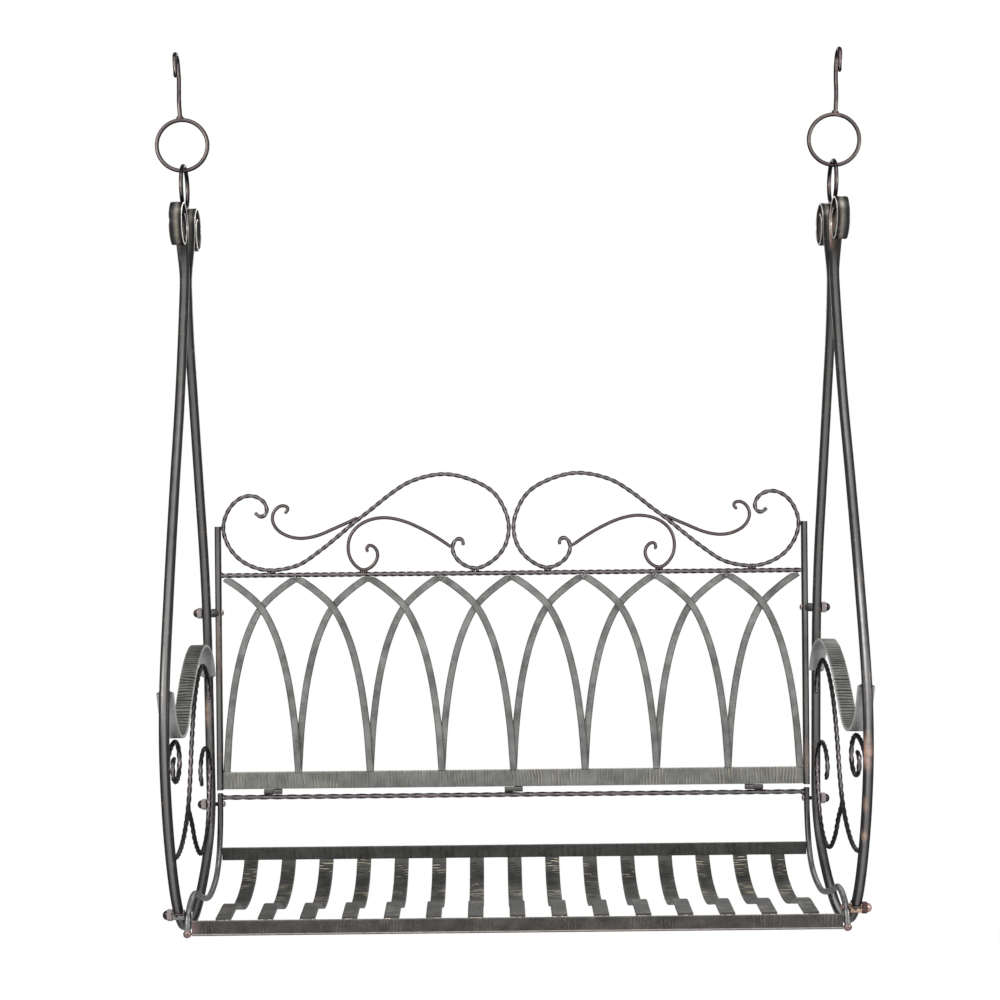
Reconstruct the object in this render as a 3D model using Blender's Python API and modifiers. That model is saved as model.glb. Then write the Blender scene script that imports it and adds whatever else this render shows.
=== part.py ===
"""Wrought iron hanging swing bench, hung from two hooks.

Metres, +Z up, +X to the viewer's right, the front faces -Y. The origin lies midway
between the two hook crowns, on the line on which the bench hangs.
"""

import math

import bmesh
import bpy
from mathutils import Matrix, Vector

# Hangers: a hook shank welded on a round ring, and the ring's drop below the hook line
RING_DROP = 0.168
RING_RADIUS = 0.048
RING_WIRE = 0.004
HOOK_WIRE = 0.0045
HOOK_BEND = 0.020
HANGER_LEAN = math.radians(3.5)

# Side frames: the ring that the hanger holds, the curled legs, and how the plane leans out
PIVOT_X = 0.615
FRAME_LEAN = math.radians(0.75)
FRAME_RING_RADIUS = 0.041
CURL_RADIUS = 0.0458
CURL_THICKNESS = 0.005
CURL_WIDTH = 0.025
CURL_PITCH = 0.021
CURL_OFFSET = 0.006
LEG_WIDTH = 0.018
LEG_THICKNESS = 0.012
LEG_FLARE = 0.110
FRAME_REACH = 0.350
FRAME_DROP = 1.244
# How far the bench is set forward of its curls, so that its weight hangs plumb under them
FRAME_SET = 0.0263
FRAME_SET_SHARE = 0.385

# Armrests and the twisted side scrolls
ARM_WIDTH = 0.030
ARM_THICKNESS = 0.005
SCROLL_HALF_DIAGONAL = 0.0046
SCROLL_QUARTER_TURN = 0.021
TWIST_STEP_SHARE = 0.58

# Bolts with cap nuts, and the spacer tubes they pass through
BOLT_RADIUS = 0.0038
BOLT_CLEARANCE = 0.0003
BOLT_HEAD_RADIUS = 0.006
BOLT_HEAD_HEIGHT = 0.004
NUT_RADIUS = 0.0109
NUT_HEIGHT = 0.009
NUT_DOME_RADIUS = 0.0086
SPACER_RADIUS = 0.009
SPACER_LENGTH = 0.021
BOSS_RADIUS = 0.0085

# Back panel between two square posts
POST_SIDE = 0.012
POST_EDGE = 0.0014
POST_LIFT = 0.015
POST_HORN = 0.097
# The top rail's height above the upper bolts
TOP_RAIL_RISE = 0.0739
RAIL_HALF_DIAGONAL = 0.0050
RAIL_QUARTER_TURN = 0.027
BOTTOM_RAIL_RISE = 0.0332
BOTTOM_RAIL_HEIGHT = 0.034
BOTTOM_RAIL_THICKNESS = 0.005
BAYS = 8
ARCH_WIDTH = 0.014
ARCH_THICKNESS = 0.004
ARCH_STUB = 0.010

# Crest scrolls over the back panel
CREST_RISE = 0.1874
CREST_HALF_DIAGONAL = 0.0042
CREST_QUARTER_TURN = 0.022
# How far out towards its corners the small scrolls' ends meet the twisted bar
OUTER_SEAT_SHARE = 0.84
INNER_SEAT_SHARE = 0.66
SMALL_SCROLL_RADIUS = 0.0034

# Barrel hinges between the back panel and the hinge rod
HINGE_SPREAD = 0.476
HINGE_RADIUS = 0.0050
HINGE_LENGTH = 0.036
HINGE_PIN_RADIUS = 0.0022
HINGE_PIN_CLEARANCE = 0.0003
HINGE_PIN_LENGTH = 0.014

# Seat, set out from the bolts that hold its side bars
ROD_RISE = 0.013
SIDE_BAR_RADIUS = 0.0058
SIDE_BALL_RADIUS = 0.0075
FRONT_RAIL_SET = 0.010
FRONT_RAIL_DROP = 0.0219
FRONT_RAIL_HEIGHT = 0.027
REAR_RAIL_SET = 0.025
REAR_RAIL_RISE = 0.0352
REAR_RAIL_HEIGHT = 0.025
SEAT_RAIL_THICKNESS = 0.005
SLATS = 15
SLAT_MARGIN = 0.043
SLAT_WIDTH = 0.028
SLAT_THICKNESS = 0.004

# The gap left between pieces that are welded or bear on each other
GAP = 0.0003

# How far a bent bar turns between two of its sections
LEG_TURN = math.radians(14)
BAR_TURN = math.radians(27)
FLAT_TURN = math.radians(12)

# Outlines of the side frame: shares of its reach (to the rear) and of its drop (down from
# the curls' centres), in order from the curls or the rear leg
FRONT_LEG_SHARES = [
    (-0.034, 0.058), (-0.143, 0.163), (-0.286, 0.269), (-0.486, 0.388), (-0.757, 0.543),
    (-0.957, 0.678), (-1.0, 0.76), (-0.966, 0.838), (-0.886, 0.907), (-0.771, 0.967),
    (-0.671, 1.0),
]
REAR_LEG_SHARES = [
    (0.034, 0.058), (0.09, 0.157), (0.214, 0.262), (0.371, 0.385), (0.496, 0.5),
    (0.557, 0.592), (0.572, 0.661), (0.572, 0.742), (0.57, 0.822), (0.557, 0.896),
    (0.471, 0.94), (0.3, 0.98), (0.106, 1.009), (-0.086, 1.029), (-0.314, 1.036),
    (-0.514, 1.026), (-0.671, 1.0),
]
UPPER_BOLT_SHARES = (0.557, 0.592)
LOWER_BOLT_SHARES = (0.557, 0.896)
FRONT_BOLT_SHARES = (-0.671, 1.0)
ARM_SHARES = [
    (0.572, 0.712), (0.535, 0.684), (0.457, 0.6573), (0.314, 0.6413), (0.171, 0.638),
    (0.0, 0.6493), (-0.171, 0.6734), (-0.343, 0.7096), (-0.486, 0.7401), (-0.6, 0.749),
    (-0.729, 0.7433), (-0.843, 0.7216), (-0.905, 0.694), (-0.96, 0.66),
]
LONG_SCROLL_SHARES = [
    (0.572, 0.745), (0.515, 0.697), (0.371, 0.672), (0.214, 0.679), (0.071, 0.704),
    (-0.035, 0.738), (-0.125, 0.782), (-0.206, 0.832), (-0.286, 0.866), (-0.4, 0.892),
    (-0.543, 0.911), (-0.7, 0.917), (-0.83, 0.909), (-0.93, 0.893),
]
REAR_SCROLL_SHARES = [
    (-0.286, 0.866), (-0.171, 0.894), (-0.071, 0.925), (0.103, 0.952), (0.286, 0.946),
    (0.414, 0.919), (0.497, 0.872), (0.53, 0.837), (0.468, 0.81), (0.343, 0.8),
    (0.223, 0.812), (0.177, 0.833), (0.22, 0.853),
]
FRONT_SCROLL_SHARES = [
    (-0.99, 0.802), (-0.886, 0.77), (-0.771, 0.7575), (-0.657, 0.7556), (-0.571, 0.766),
    (-0.534, 0.786), (-0.571, 0.8045), (-0.663, 0.812), (-0.743, 0.802), (-0.749, 0.7835),
    (-0.695, 0.777),
]

# The leg's section: shares of its width and thickness, domed on the outer side
LEG_SECTION_SHARES = [
    (-0.45, -0.5), (0.45, -0.5), (0.5, 0.05), (0.2, 0.48), (-0.2, 0.48), (-0.5, 0.05),
]
CURL_TURNS_SHARE = 11 / 9

# Hook: shares of the bend's radius (to the rear) and of the drop to the ring's top
HOOK_SHARES = [
    (0.0, 1.0), (0.0, 0.72), (0.55, 0.5), (1.0, 0.3),
]
HOOK_TIP_SHARES = [(-0.98, 0.28), (-1.25, 0.36)]

# Seat side bar and slats: shares of the way back from the front bolt to the lower rear
# bolt, and of the rise between them
SIDE_BAR_REAR_SHARES = [
    (1.0, 1.164), (1.0, 1.0), (0.99, 0.707), (0.942, 0.273), (0.861, 0.019),
    (0.67, -0.144), (0.546, -0.134), (0.313, 0.048), (0.186, 0.166), (0.092, 0.142),
    (0.036, 0.072),
]
SIDE_BAR_FRONT_SHARES = [(-0.02, -0.144), (-0.027, -0.245)]
SLAT_SHARES = [
    (0.927, 0.116), (0.845, -0.068), (0.691, -0.207), (0.517, -0.245), (0.392, -0.188),
    (0.285, -0.061), (0.203, -0.014), (0.092, -0.03),
]

# One arch bar: shares of a bay's width and of the panel's height, from apex to foot
ARCH_SHARES = [
    (0.0, 0.0), (0.24, 0.062), (0.5, 0.154), (0.7, 0.3), (0.85, 0.5), (0.95, 0.75),
    (1.0, 1.0),
]

# Crest scrolls on one side: shares of the half width (0 at the middle, 1 at the post)
# and of the crest's rise above the top rail
MAIN_CREST_SHARES = [
    (0.888, 0.61), (0.869, 0.558), (0.847, 0.6), (0.851, 0.7), (0.876, 0.77),
    (0.915, 0.79), (0.957, 0.73), (0.988, 0.6), (1.0, 0.44), (0.982, 0.26),
    (0.94, 0.11), (0.88, 0.02), (0.826, 0.0), (0.737, 0.054), (0.665, 0.195),
    (0.593, 0.367), (0.542, 0.496), (0.485, 0.626), (0.412, 0.799), (0.34, 0.929),
    (0.225, 1.0), (0.124, 0.929), (0.052, 0.799), (0.012, 0.6), (0.0, 0.42),
    (0.016, 0.226), (0.059, 0.076), (0.117, 0.0), (0.167, 0.054), (0.196, 0.162),
    (0.196, 0.27), (0.178, 0.324), (0.158, 0.292), (0.162, 0.245),
]
OUTER_CREST_SHARES = [
    (0.784, 0.6), (0.768, 0.655), (0.792, 0.688), (0.818, 0.64), (0.829, 0.55),
    (0.815, 0.442), (0.78, 0.367), (0.73, 0.334), (0.672, 0.361), (0.607, 0.442),
    (0.546, 0.523), (0.5, 0.6),
]
INNER_CREST_SHARES = [
    (0.18, 0.18), (0.254, 0.334), (0.304, 0.421), (0.369, 0.508),
    (0.434, 0.546), (0.492, 0.519), (0.535, 0.442), (0.558, 0.34), (0.564, 0.226),
    (0.557, 0.12), (0.535, 0.03), (0.513, -0.009), (0.48, 0.03), (0.46, 0.13),
    (0.463, 0.205), (0.488, 0.266), (0.502, 0.226), (0.495, 0.184),
]

# Places that follow from the sizes above. Side frame heights are measured from the pivot.
PIVOT_Z = -RING_DROP - RING_RADIUS
FRAME_RING_Z = 2 * RING_WIRE + GAP - FRAME_RING_RADIUS
CURL_Y = CURL_RADIUS + GAP / 2
CURL_REACH = FRAME_RING_RADIUS + RING_WIRE + CURL_RADIUS + GAP
CURL_Z = FRAME_RING_Z - math.sqrt(CURL_REACH**2 - CURL_Y**2)


def side_point(shares):
    """A place in a side frame's own plane, as (y, z)."""
    set_forward = FRAME_SET * min(1.0, shares[1] / FRAME_SET_SHARE)
    return Vector((shares[0] * FRAME_REACH - set_forward, CURL_Z - shares[1] * FRAME_DROP))


UPPER_BOLT = side_point(UPPER_BOLT_SHARES)
LOWER_BOLT = side_point(LOWER_BOLT_SHARES)
FRONT_BOLT = side_point(FRONT_BOLT_SHARES)
BACK_Y = UPPER_BOLT.x
SIDE_BAR_X = (
    PIVOT_X + math.tan(FRAME_LEAN) * FRONT_BOLT.y
    - SPACER_LENGTH / 2 - SIDE_BAR_RADIUS - 1.5 * GAP
)
POST_INNER_X = SIDE_BAR_X - POST_SIDE / 2
BAY_WIDTH = 2 * (POST_INNER_X - GAP - ARCH_WIDTH / 2) / BAYS
SEAT_SPAN = 2 * (SIDE_BAR_X - SIDE_BAR_RADIUS - GAP)
SLAT_PITCH = (SEAT_SPAN - 2 * SLAT_MARGIN - SLAT_WIDTH) / (SLATS - 1)
ROD_Z = PIVOT_Z + LOWER_BOLT.y + ROD_RISE
BOTTOM_RAIL_Z = ROD_Z + BOTTOM_RAIL_RISE
TOP_RAIL_Z = PIVOT_Z + UPPER_BOLT.y + TOP_RAIL_RISE
POST_BOTTOM_Z = ROD_Z + POST_LIFT
POST_TOP_Z = TOP_RAIL_Z + POST_HORN


def clear_scene():
    for item in list(bpy.data.objects):
        bpy.data.objects.remove(item)


def new_collection(name):
    collection = bpy.data.collections.new(name)
    bpy.context.scene.collection.children.link(collection)
    return collection


def iron(name, color, roughness, metallic):
    material = bpy.data.materials.new(name)
    material.use_nodes = True
    shader = material.node_tree.nodes["Principled BSDF"]
    shader.inputs["Base Color"].default_value = (*color, 1)
    shader.inputs["Roughness"].default_value = roughness
    shader.inputs["Metallic"].default_value = metallic
    return material


clear_scene()
PIECES = new_collection("hanging_swing_bench")
HELPERS = new_collection("cutters")


def keep(item, material, parent=None):
    """Files a finished object with the pieces and gives it its material and parent."""
    for collection in list(item.users_collection):
        collection.objects.unlink(item)
    PIECES.objects.link(item)
    item.data.materials.clear()
    item.data.materials.append(material)
    item.parent = parent
    return item


def helper(item, parent=None):
    """Files an object that cuts or joins others, and is no piece itself."""
    for collection in list(item.users_collection):
        collection.objects.unlink(item)
    HELPERS.objects.link(item)
    item.hide_render = True
    item.display_type = "WIRE"
    item.parent = parent
    return item


def boolean(item, other, operation):
    modifier = item.modifiers.new(operation.lower(), "BOOLEAN")
    modifier.operation = operation
    modifier.solver = "EXACT"
    modifier.object = other


def box(name, size):
    bpy.ops.mesh.primitive_cube_add(size=1)
    item = bpy.context.object
    item.name = name
    item.data.transform(Matrix.Diagonal((*size, 1)))
    return item


def rounded(item, width):
    modifier = item.modifiers.new("edges", "BEVEL")
    modifier.width = width
    modifier.segments = 1
    return item


def cross_cylinder(name, radius, length, sides=12):
    """A cylinder that lies along X, centred on its origin."""
    bpy.ops.mesh.primitive_cylinder_add(vertices=sides, radius=radius, depth=length)
    item = bpy.context.object
    item.name = name
    item.data.transform(Matrix.Rotation(math.radians(90), 4, "Y"))
    smooth(item)
    return item


def smooth(item):
    item.data.shade_smooth()
    item.data.set_sharp_from_angle(angle=math.radians(40))


def flowing(knots, steps=24):
    """A smooth line through the knots: centripetal Catmull-Rom spans."""
    line = [Vector(knot) for knot in knots]
    line = [2 * line[0] - line[1], *line, 2 * line[-1] - line[-2]]
    points = []
    for a, b, c, d in zip(line, line[1:], line[2:], line[3:]):
        t1 = math.sqrt((b - a).length)
        t2 = t1 + math.sqrt((c - b).length)
        t3 = t2 + math.sqrt((d - c).length)
        for step in range(steps):
            t = t1 + (t2 - t1) * step / steps
            ab = a.lerp(b, t / t1)
            bc = b.lerp(c, (t - t1) / (t2 - t1))
            cd = c.lerp(d, (t - t2) / (t3 - t2))
            low = ab.lerp(bc, t / t2)
            high = bc.lerp(cd, (t - t1) / (t3 - t1))
            points.append(low.lerp(high, (t - t1) / (t2 - t1)))
    return points + [line[-2]]


def evenly(points, spacing):
    """The same line with points about this far apart, evenly spaced along it."""
    travelled = [0.0]
    for a, b in zip(points, points[1:]):
        travelled.append(travelled[-1] + (b - a).length)
    count = max(2, round(travelled[-1] / spacing))
    found = []
    span = 0
    for step in range(count + 1):
        aim = travelled[-1] * step / count
        while span < len(points) - 2 and travelled[span + 1] < aim:
            span += 1
        share = (aim - travelled[span]) / (travelled[span + 1] - travelled[span])
        found.append(points[span].lerp(points[span + 1], share))
    return found


def paced(points, spacing, turn):
    """The same line with fewer points: this far apart, or closer where it bends."""
    found = [points[0]]
    run = 0.0
    last_way = points[1] - points[0]
    for a, b in zip(points, points[1:]):
        run += (b - a).length
        if run >= spacing or (b - a).angle(last_way) > turn:
            found.append(b)
            run = 0.0
            last_way = b - a
    if run < spacing / 3 and len(found) > 2:
        found.pop()
    if found[-1] is not points[-1]:
        found.append(points[-1])
    return found


def nearest(point, line):
    """The distance from the point to the line, and the line's way there."""
    best = None
    for a, b in zip(line, line[1:]):
        way = b - a
        share = min(1.0, max(0.0, (point - a).dot(way) / way.length_squared))
        away = (a + way * share - point).length
        if best is None or away < best[0]:
            best = (away, way.normalized())
    return best


def ended(points, line, line_half, own_half):
    """Shortens the points' far end so that a bar on them just meets the bar on the line."""

    def room(index, share):
        point = points[index].lerp(points[index + 1], share)
        away, way = nearest(point, line)
        own_way = (points[index + 1] - points[index]).normalized()
        return away - line_half - GAP - own_half * abs(own_way.dot(way))

    last = len(points) - 2
    while last > 0 and room(last, 0.0) < 0:
        last -= 1
    low, high = 0.0, 1.0
    for _ in range(12):
        middle = (low + high) / 2
        if room(last, middle) > 0:
            low = middle
        else:
            high = middle
    return [*points[: last + 1], points[last].lerp(points[last + 1], low)]


def begun(points, line, line_half, own_half):
    return ended(points[::-1], line, line_half, own_half)[::-1]


def bar(name, points, radius, resolution=1, twist=0.0):
    """A round or square bar on a line. A twist is the length of one quarter turn."""
    curve = bpy.data.curves.new(name, "CURVE")
    curve.dimensions = "3D"
    curve.twist_mode = "MINIMUM"
    curve.bevel_depth = radius
    curve.bevel_resolution = resolution
    curve.use_fill_caps = True
    spline = curve.splines.new("POLY")
    spline.points.add(len(points) - 1)
    travelled = 0.0
    for index, point in enumerate(points):
        if index:
            travelled += (point - points[index - 1]).length
        spline.points[index].co = (*point, 1)
        if twist:
            spline.points[index].tilt = math.radians(90) * travelled / twist
    item = bpy.data.objects.new(name, curve)
    PIECES.objects.link(item)
    return item


def solid_mesh(item):
    """The same bar as a closed mesh, so that it can be cut or joined."""
    bpy.context.view_layer.update()
    graph = bpy.context.evaluated_depsgraph_get()
    mesh = bpy.data.meshes.new_from_object(item.evaluated_get(graph))
    work = bmesh.new()
    work.from_mesh(mesh)
    bmesh.ops.remove_doubles(work, verts=work.verts, dist=GAP / 30)
    bmesh.ops.recalc_face_normals(work, faces=work.faces)
    work.to_mesh(mesh)
    work.free()
    name = item.name
    made = bpy.data.objects.new(name, mesh)
    made.matrix_world = item.matrix_world
    bpy.data.objects.remove(item)
    made.name = name
    PIECES.objects.link(made)
    return made


def outline(name, points, depth):
    """A flat plate: a closed outline, filled and as thick as depth."""
    curve = bpy.data.curves.new(name, "CURVE")
    curve.dimensions = "2D"
    curve.fill_mode = "BOTH"
    curve.extrude = depth / 2
    spline = curve.splines.new("POLY")
    spline.points.add(len(points) - 1)
    for index, point in enumerate(points):
        spline.points[index].co = (point[0], point[1], 0, 1)
    spline.use_cyclic_u = True
    item = bpy.data.objects.new(name, curve)
    PIECES.objects.link(item)
    return item


def strip(points, thickness):
    """The outline of a bent flat bar seen on edge: its centreline and its thickness."""
    ways = [(b - a).normalized() for a, b in zip(points, points[1:])]
    sides = []
    for point, before, after in zip(points, [ways[0], *ways], [*ways, ways[-1]]):
        mean = (before + after).normalized()
        offset = Vector((-mean.y, mean.x)) * (thickness / 2 / mean.dot(after))
        sides.append((point + offset, point - offset))
    return [left for left, _ in sides] + [right for _, right in sides[::-1]]


def side_plate(name, points, thickness, width):
    """A flat bar bent in a Y-Z plane: the points are (y, z), and the width lies along X."""
    item = outline(name, strip(points, thickness), width)
    item.rotation_euler = (math.radians(90), 0, math.radians(90))
    return item


def in_plane(points):
    """Places in a side frame's plane as points in space."""
    return [Vector((0, point.x, point.y)) for point in points]


def leg_line(shares, side):
    """A leg's centreline: the curl from its inner end, then the bar down to its foot."""
    radius = CURL_RADIUS - CURL_THICKNESS / 2
    centre = Vector((side * CURL_Y, CURL_Z))
    turns = 2 * math.pi * CURL_TURNS_SHARE
    quarter = math.pi / 2
    curl = []
    steps = 22
    for step in range(steps + 1):
        angle = turns * (1 - step / steps)
        arm = radius - CURL_PITCH * max(0.0, angle - quarter) / (2 * math.pi)
        curl.append(centre + arm * Vector((-side * math.cos(angle), math.sin(angle))))
    down = flowing([curl[-2], curl[-1], *[side_point(pair) for pair in shares]])
    down = down[len(down) // (len(shares) + 1):]
    return curl[:-1], paced(down, LEG_FLARE / 2, LEG_TURN)


def loft_leg(name, curl, down, side, offset):
    """Sweeps the domed section along a leg: wide and thin in the curl, stout below it.

    The two curls of a side lie a little out of line, this far from the frame's plane.
    """
    stations = [*curl, *down]
    travelled = 0.0
    work = bmesh.new()
    rings = []
    for index, point in enumerate(stations):
        before = stations[max(0, index - 1)]
        after = stations[min(len(stations) - 1, index + 1)]
        way = (after - before).normalized()
        if index > len(curl):
            travelled += (point - before).length
        share = min(1.0, travelled / LEG_FLARE)
        share = share * share * (3 - 2 * share)
        width = CURL_WIDTH + (LEG_WIDTH - CURL_WIDTH) * share
        thickness = CURL_THICKNESS + (LEG_THICKNESS - CURL_THICKNESS) * share
        normal = Vector((way.y, -way.x)) * -side
        ring = []
        for across, through in LEG_SECTION_SHARES:
            place = point + normal * (through * thickness)
            x = across * width + offset * (1 - share)
            ring.append(work.verts.new((x, place.x, place.y)))
        rings.append(ring)
    count = len(LEG_SECTION_SHARES)
    for a, b in zip(rings, rings[1:]):
        for index in range(count):
            after = (index + 1) % count
            work.faces.new((a[index], a[after], b[after], b[index]))
    work.faces.new(rings[0])
    work.faces.new(rings[-1])
    bmesh.ops.recalc_face_normals(work, faces=work.faces)
    mesh = bpy.data.meshes.new(name)
    work.to_mesh(mesh)
    work.free()
    item = bpy.data.objects.new(name, mesh)
    PIECES.objects.link(item)
    smooth(item)
    return item


def bolt(name, place, inner_x, outer_x, sign):
    """A bolt along X with a small round head inside and a cap nut outside, as one solid."""
    shank_length = outer_x - inner_x + BOLT_HEAD_HEIGHT / 2 + NUT_HEIGHT / 2
    item = cross_cylinder(name, BOLT_RADIUS, shank_length, 10)
    middle = (inner_x - BOLT_HEAD_HEIGHT / 2 + outer_x + NUT_HEIGHT / 2) / 2
    head = cross_cylinder(name + "_head", BOLT_HEAD_RADIUS, BOLT_HEAD_HEIGHT, 10)
    nut = cross_cylinder(name + "_nut", NUT_RADIUS, NUT_HEIGHT, 6)
    bpy.ops.mesh.primitive_uv_sphere_add(segments=10, ring_count=6, radius=NUT_DOME_RADIUS)
    dome = bpy.context.object
    dome.name = name + "_dome"
    dome.data.transform(Matrix.Rotation(math.radians(90), 4, "Y"))
    places = {
        item: middle,
        head: inner_x - BOLT_HEAD_HEIGHT / 2,
        nut: outer_x + NUT_HEIGHT / 2,
        dome: outer_x + NUT_HEIGHT,
    }
    for piece, x in places.items():
        piece.location = (sign * x, place.x, place.y)
    for piece in (head, nut, dome):
        boolean(item, piece, "UNION")
    return item, (head, nut, dome)


def build_hanger(side_name, sign, material):
    """A hook shank welded on its ring: the ring faces the front and the hook is seen on edge."""
    pivot = bpy.data.objects.new("hanger_pivot_" + side_name, None)
    pivot.location = (sign * PIVOT_X, 0, PIVOT_Z)
    pivot.rotation_euler = (0, sign * HANGER_LEAN, 0)
    PIECES.objects.link(pivot)
    bpy.ops.mesh.primitive_torus_add(
        major_radius=RING_RADIUS, minor_radius=RING_WIRE, major_segments=20, minor_segments=6
    )
    ring = bpy.context.object
    ring.name = "hanger_" + side_name
    ring.rotation_euler = (math.radians(90), 0, 0)
    ring.location = (0, 0, RING_RADIUS)
    smooth(ring)
    crown = -PIVOT_Z / math.cos(HANGER_LEAN)
    bend_z = crown + HOOK_WIRE - HOOK_BEND
    top_z = 2 * RING_RADIUS
    rise = crown - top_z
    knots = [(0, share * HOOK_BEND, crown - drop * rise) for share, drop in HOOK_SHARES]
    turns = 8
    for step in range(turns + 1):
        angle = math.pi * step / turns
        knots.append((0, HOOK_BEND * math.cos(angle), bend_z + HOOK_BEND * math.sin(angle)))
    for share, drop in HOOK_TIP_SHARES:
        knots.append((0, share * HOOK_BEND, crown - drop * rise))
    line = paced(flowing(knots), 2 * HOOK_BEND, BAR_TURN)
    shank = solid_mesh(bar("hook_" + side_name, line, HOOK_WIRE))
    helper(shank, pivot)
    boolean(ring, shank, "UNION")
    keep(ring, material, pivot)


def build_side(side_name, sign, irons):
    """One side frame: ring, two curled legs, armrest, three scrolls and three bolts."""
    frame = bpy.data.objects.new("side_frame_" + side_name, None)
    frame.location = (sign * PIVOT_X, 0, PIVOT_Z)
    frame.rotation_euler = (0, sign * FRAME_LEAN, 0)
    PIECES.objects.link(frame)

    bpy.ops.mesh.primitive_torus_add(
        major_radius=FRAME_RING_RADIUS, minor_radius=RING_WIRE, major_segments=24, minor_segments=6
    )
    ring = bpy.context.object
    ring.name = "frame_ring_" + side_name
    ring.rotation_euler = (math.radians(90), 0, math.radians(90))
    ring.location = (0, 0, FRAME_RING_Z)
    smooth(ring)
    keep(ring, irons["wire"], frame)

    curl, down = leg_line(FRONT_LEG_SHARES, -1)
    front_line = [*curl, *down]
    front_leg = loft_leg("front_leg_" + side_name, curl, down, -1, sign * CURL_OFFSET)
    foot = FRONT_BOLT
    spacer = cross_cylinder("spacer_" + side_name, SPACER_RADIUS, SPACER_LENGTH)
    spacer.location = (0, foot.x, foot.y)
    helper(spacer, frame)
    boolean(front_leg, spacer, "UNION")
    keep(front_leg, irons["leg"], frame)

    curl, down = leg_line(REAR_LEG_SHARES, 1)
    foot_line = [foot, foot + Vector((0, GAP))]
    down = ended(down, foot_line, SPACER_RADIUS, 0)
    rear_line = [*curl, *down]
    rear_leg = loft_leg("rear_leg_" + side_name, curl, down, 1, -sign * CURL_OFFSET)
    keep(rear_leg, irons["leg"], frame)

    leg_half = LEG_THICKNESS / 2
    arm_line = paced(flowing([side_point(pair) for pair in ARM_SHARES]), 2 * ARM_WIDTH, FLAT_TURN)
    arm_line = begun(arm_line, rear_line, leg_half, ARM_THICKNESS / 2)
    arm_line = ended(arm_line, front_line, leg_half, ARM_THICKNESS / 2)
    arm = side_plate("armrest_" + side_name, arm_line, ARM_THICKNESS, ARM_WIDTH)
    keep(arm, irons["flat"], frame)

    half = SCROLL_HALF_DIAGONAL
    step = TWIST_STEP_SHARE * SCROLL_QUARTER_TURN
    long_line, rear_scroll, front_scroll = (
        paced(flowing([side_point(pair) for pair in shares]), step, BAR_TURN)
        for shares in (LONG_SCROLL_SHARES, REAR_SCROLL_SHARES, FRONT_SCROLL_SHARES)
    )
    long_line = begun(long_line, rear_line, leg_half, half)
    long_line = ended(long_line, front_line, leg_half, half)
    rear_scroll = begun(rear_scroll, long_line, half, half)
    front_scroll = begun(front_scroll, front_line, leg_half, half)
    scrolls = {"long": long_line, "rear": rear_scroll, "front": front_scroll}
    for scroll_name, line in scrolls.items():
        name = f"{scroll_name}_scroll_{side_name}"
        scroll = bar(name, in_plane(line), half, 0, SCROLL_QUARTER_TURN)
        keep(scroll, irons["twisted"], frame)

    bolts = {}
    for bolt_name, place in (("upper", UPPER_BOLT), ("lower", LOWER_BOLT), ("front", FRONT_BOLT)):
        frame_x = PIVOT_X + math.tan(FRAME_LEAN) * place.y
        inner = POST_INNER_X if bolt_name == "upper" else SIDE_BAR_X - SIDE_BAR_RADIUS
        outer = SPACER_LENGTH / 2 if bolt_name == "front" else LEG_WIDTH / 2
        name = f"{bolt_name}_bolt_{side_name}"
        item, extras = bolt(name, place, inner - frame_x - GAP, outer + GAP, sign)
        for extra in extras:
            helper(extra, frame)
        keep(item, irons["bolt"], frame)
        hole = cross_cylinder(name + "_hole", BOLT_RADIUS + BOLT_CLEARANCE, 4 * SPACER_LENGTH, 10)
        hole.location = (0, place.x, place.y)
        bolts[bolt_name] = helper(hole, frame)
    boolean(front_leg, bolts["front"], "DIFFERENCE")
    boolean(rear_leg, bolts["upper"], "DIFFERENCE")
    boolean(rear_leg, bolts["lower"], "DIFFERENCE")
    return bolts


def build_post(side_name, sign, irons, holes, first_arch):
    """A square post with the corner arch bar welded on it and a boss under the bolt."""
    size = (POST_SIDE, POST_SIDE, POST_TOP_Z - POST_BOTTOM_Z)
    post = rounded(box("post_" + side_name, size), POST_EDGE)
    post.location = (sign * SIDE_BAR_X, BACK_Y, (POST_TOP_Z + POST_BOTTOM_Z) / 2)
    leg_x = PIVOT_X + math.tan(FRAME_LEAN) * UPPER_BOLT.y - LEG_WIDTH / 2
    length = leg_x - SIDE_BAR_X - 2 * GAP
    boss = cross_cylinder("boss_" + side_name, BOSS_RADIUS, length)
    boss.location = (sign * (SIDE_BAR_X + length / 2), BACK_Y, UPPER_BOLT.y + PIVOT_Z)
    helper(boss)
    boolean(post, boss, "UNION")
    top = TOP_RAIL_Z - RAIL_HALF_DIAGONAL - GAP
    layer_y = first_arch.location.y
    stub = box("corner_stub_" + side_name, (ARCH_WIDTH, ARCH_THICKNESS, ARCH_STUB))
    stub.location = (sign * (POST_INNER_X - ARCH_WIDTH / 3), layer_y, top - ARCH_STUB / 2)
    for joined in (stub, first_arch):
        boolean(post, helper(joined), "UNION")
    boolean(post, holes["upper"], "DIFFERENCE")
    keep(post, irons["leg"])


def arch_bar(name, apex_x, way, layer):
    """One bar of an arch, from its apex to its foot one bay away, in its own layer."""
    top = TOP_RAIL_Z - RAIL_HALF_DIAGONAL - GAP
    foot = BOTTOM_RAIL_Z + BOTTOM_RAIL_HEIGHT / 2 + GAP
    knots = [
        (apex_x + way * share * BAY_WIDTH, top + drop * (foot - top)) for share, drop in ARCH_SHARES
    ]
    line = paced(flowing(knots), (top - foot) / 4, FLAT_TURN)
    points = strip(line, ARCH_WIDTH)
    low = [Vector((point.x, max(foot, min(top, point.y)))) for point in points]
    item = outline(name, low, ARCH_THICKNESS)
    item.rotation_euler = (math.radians(90), 0, 0)
    item.location = (0, BACK_Y + layer * (ARCH_THICKNESS + GAP) / 2, 0)
    return solid_mesh(item)


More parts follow.
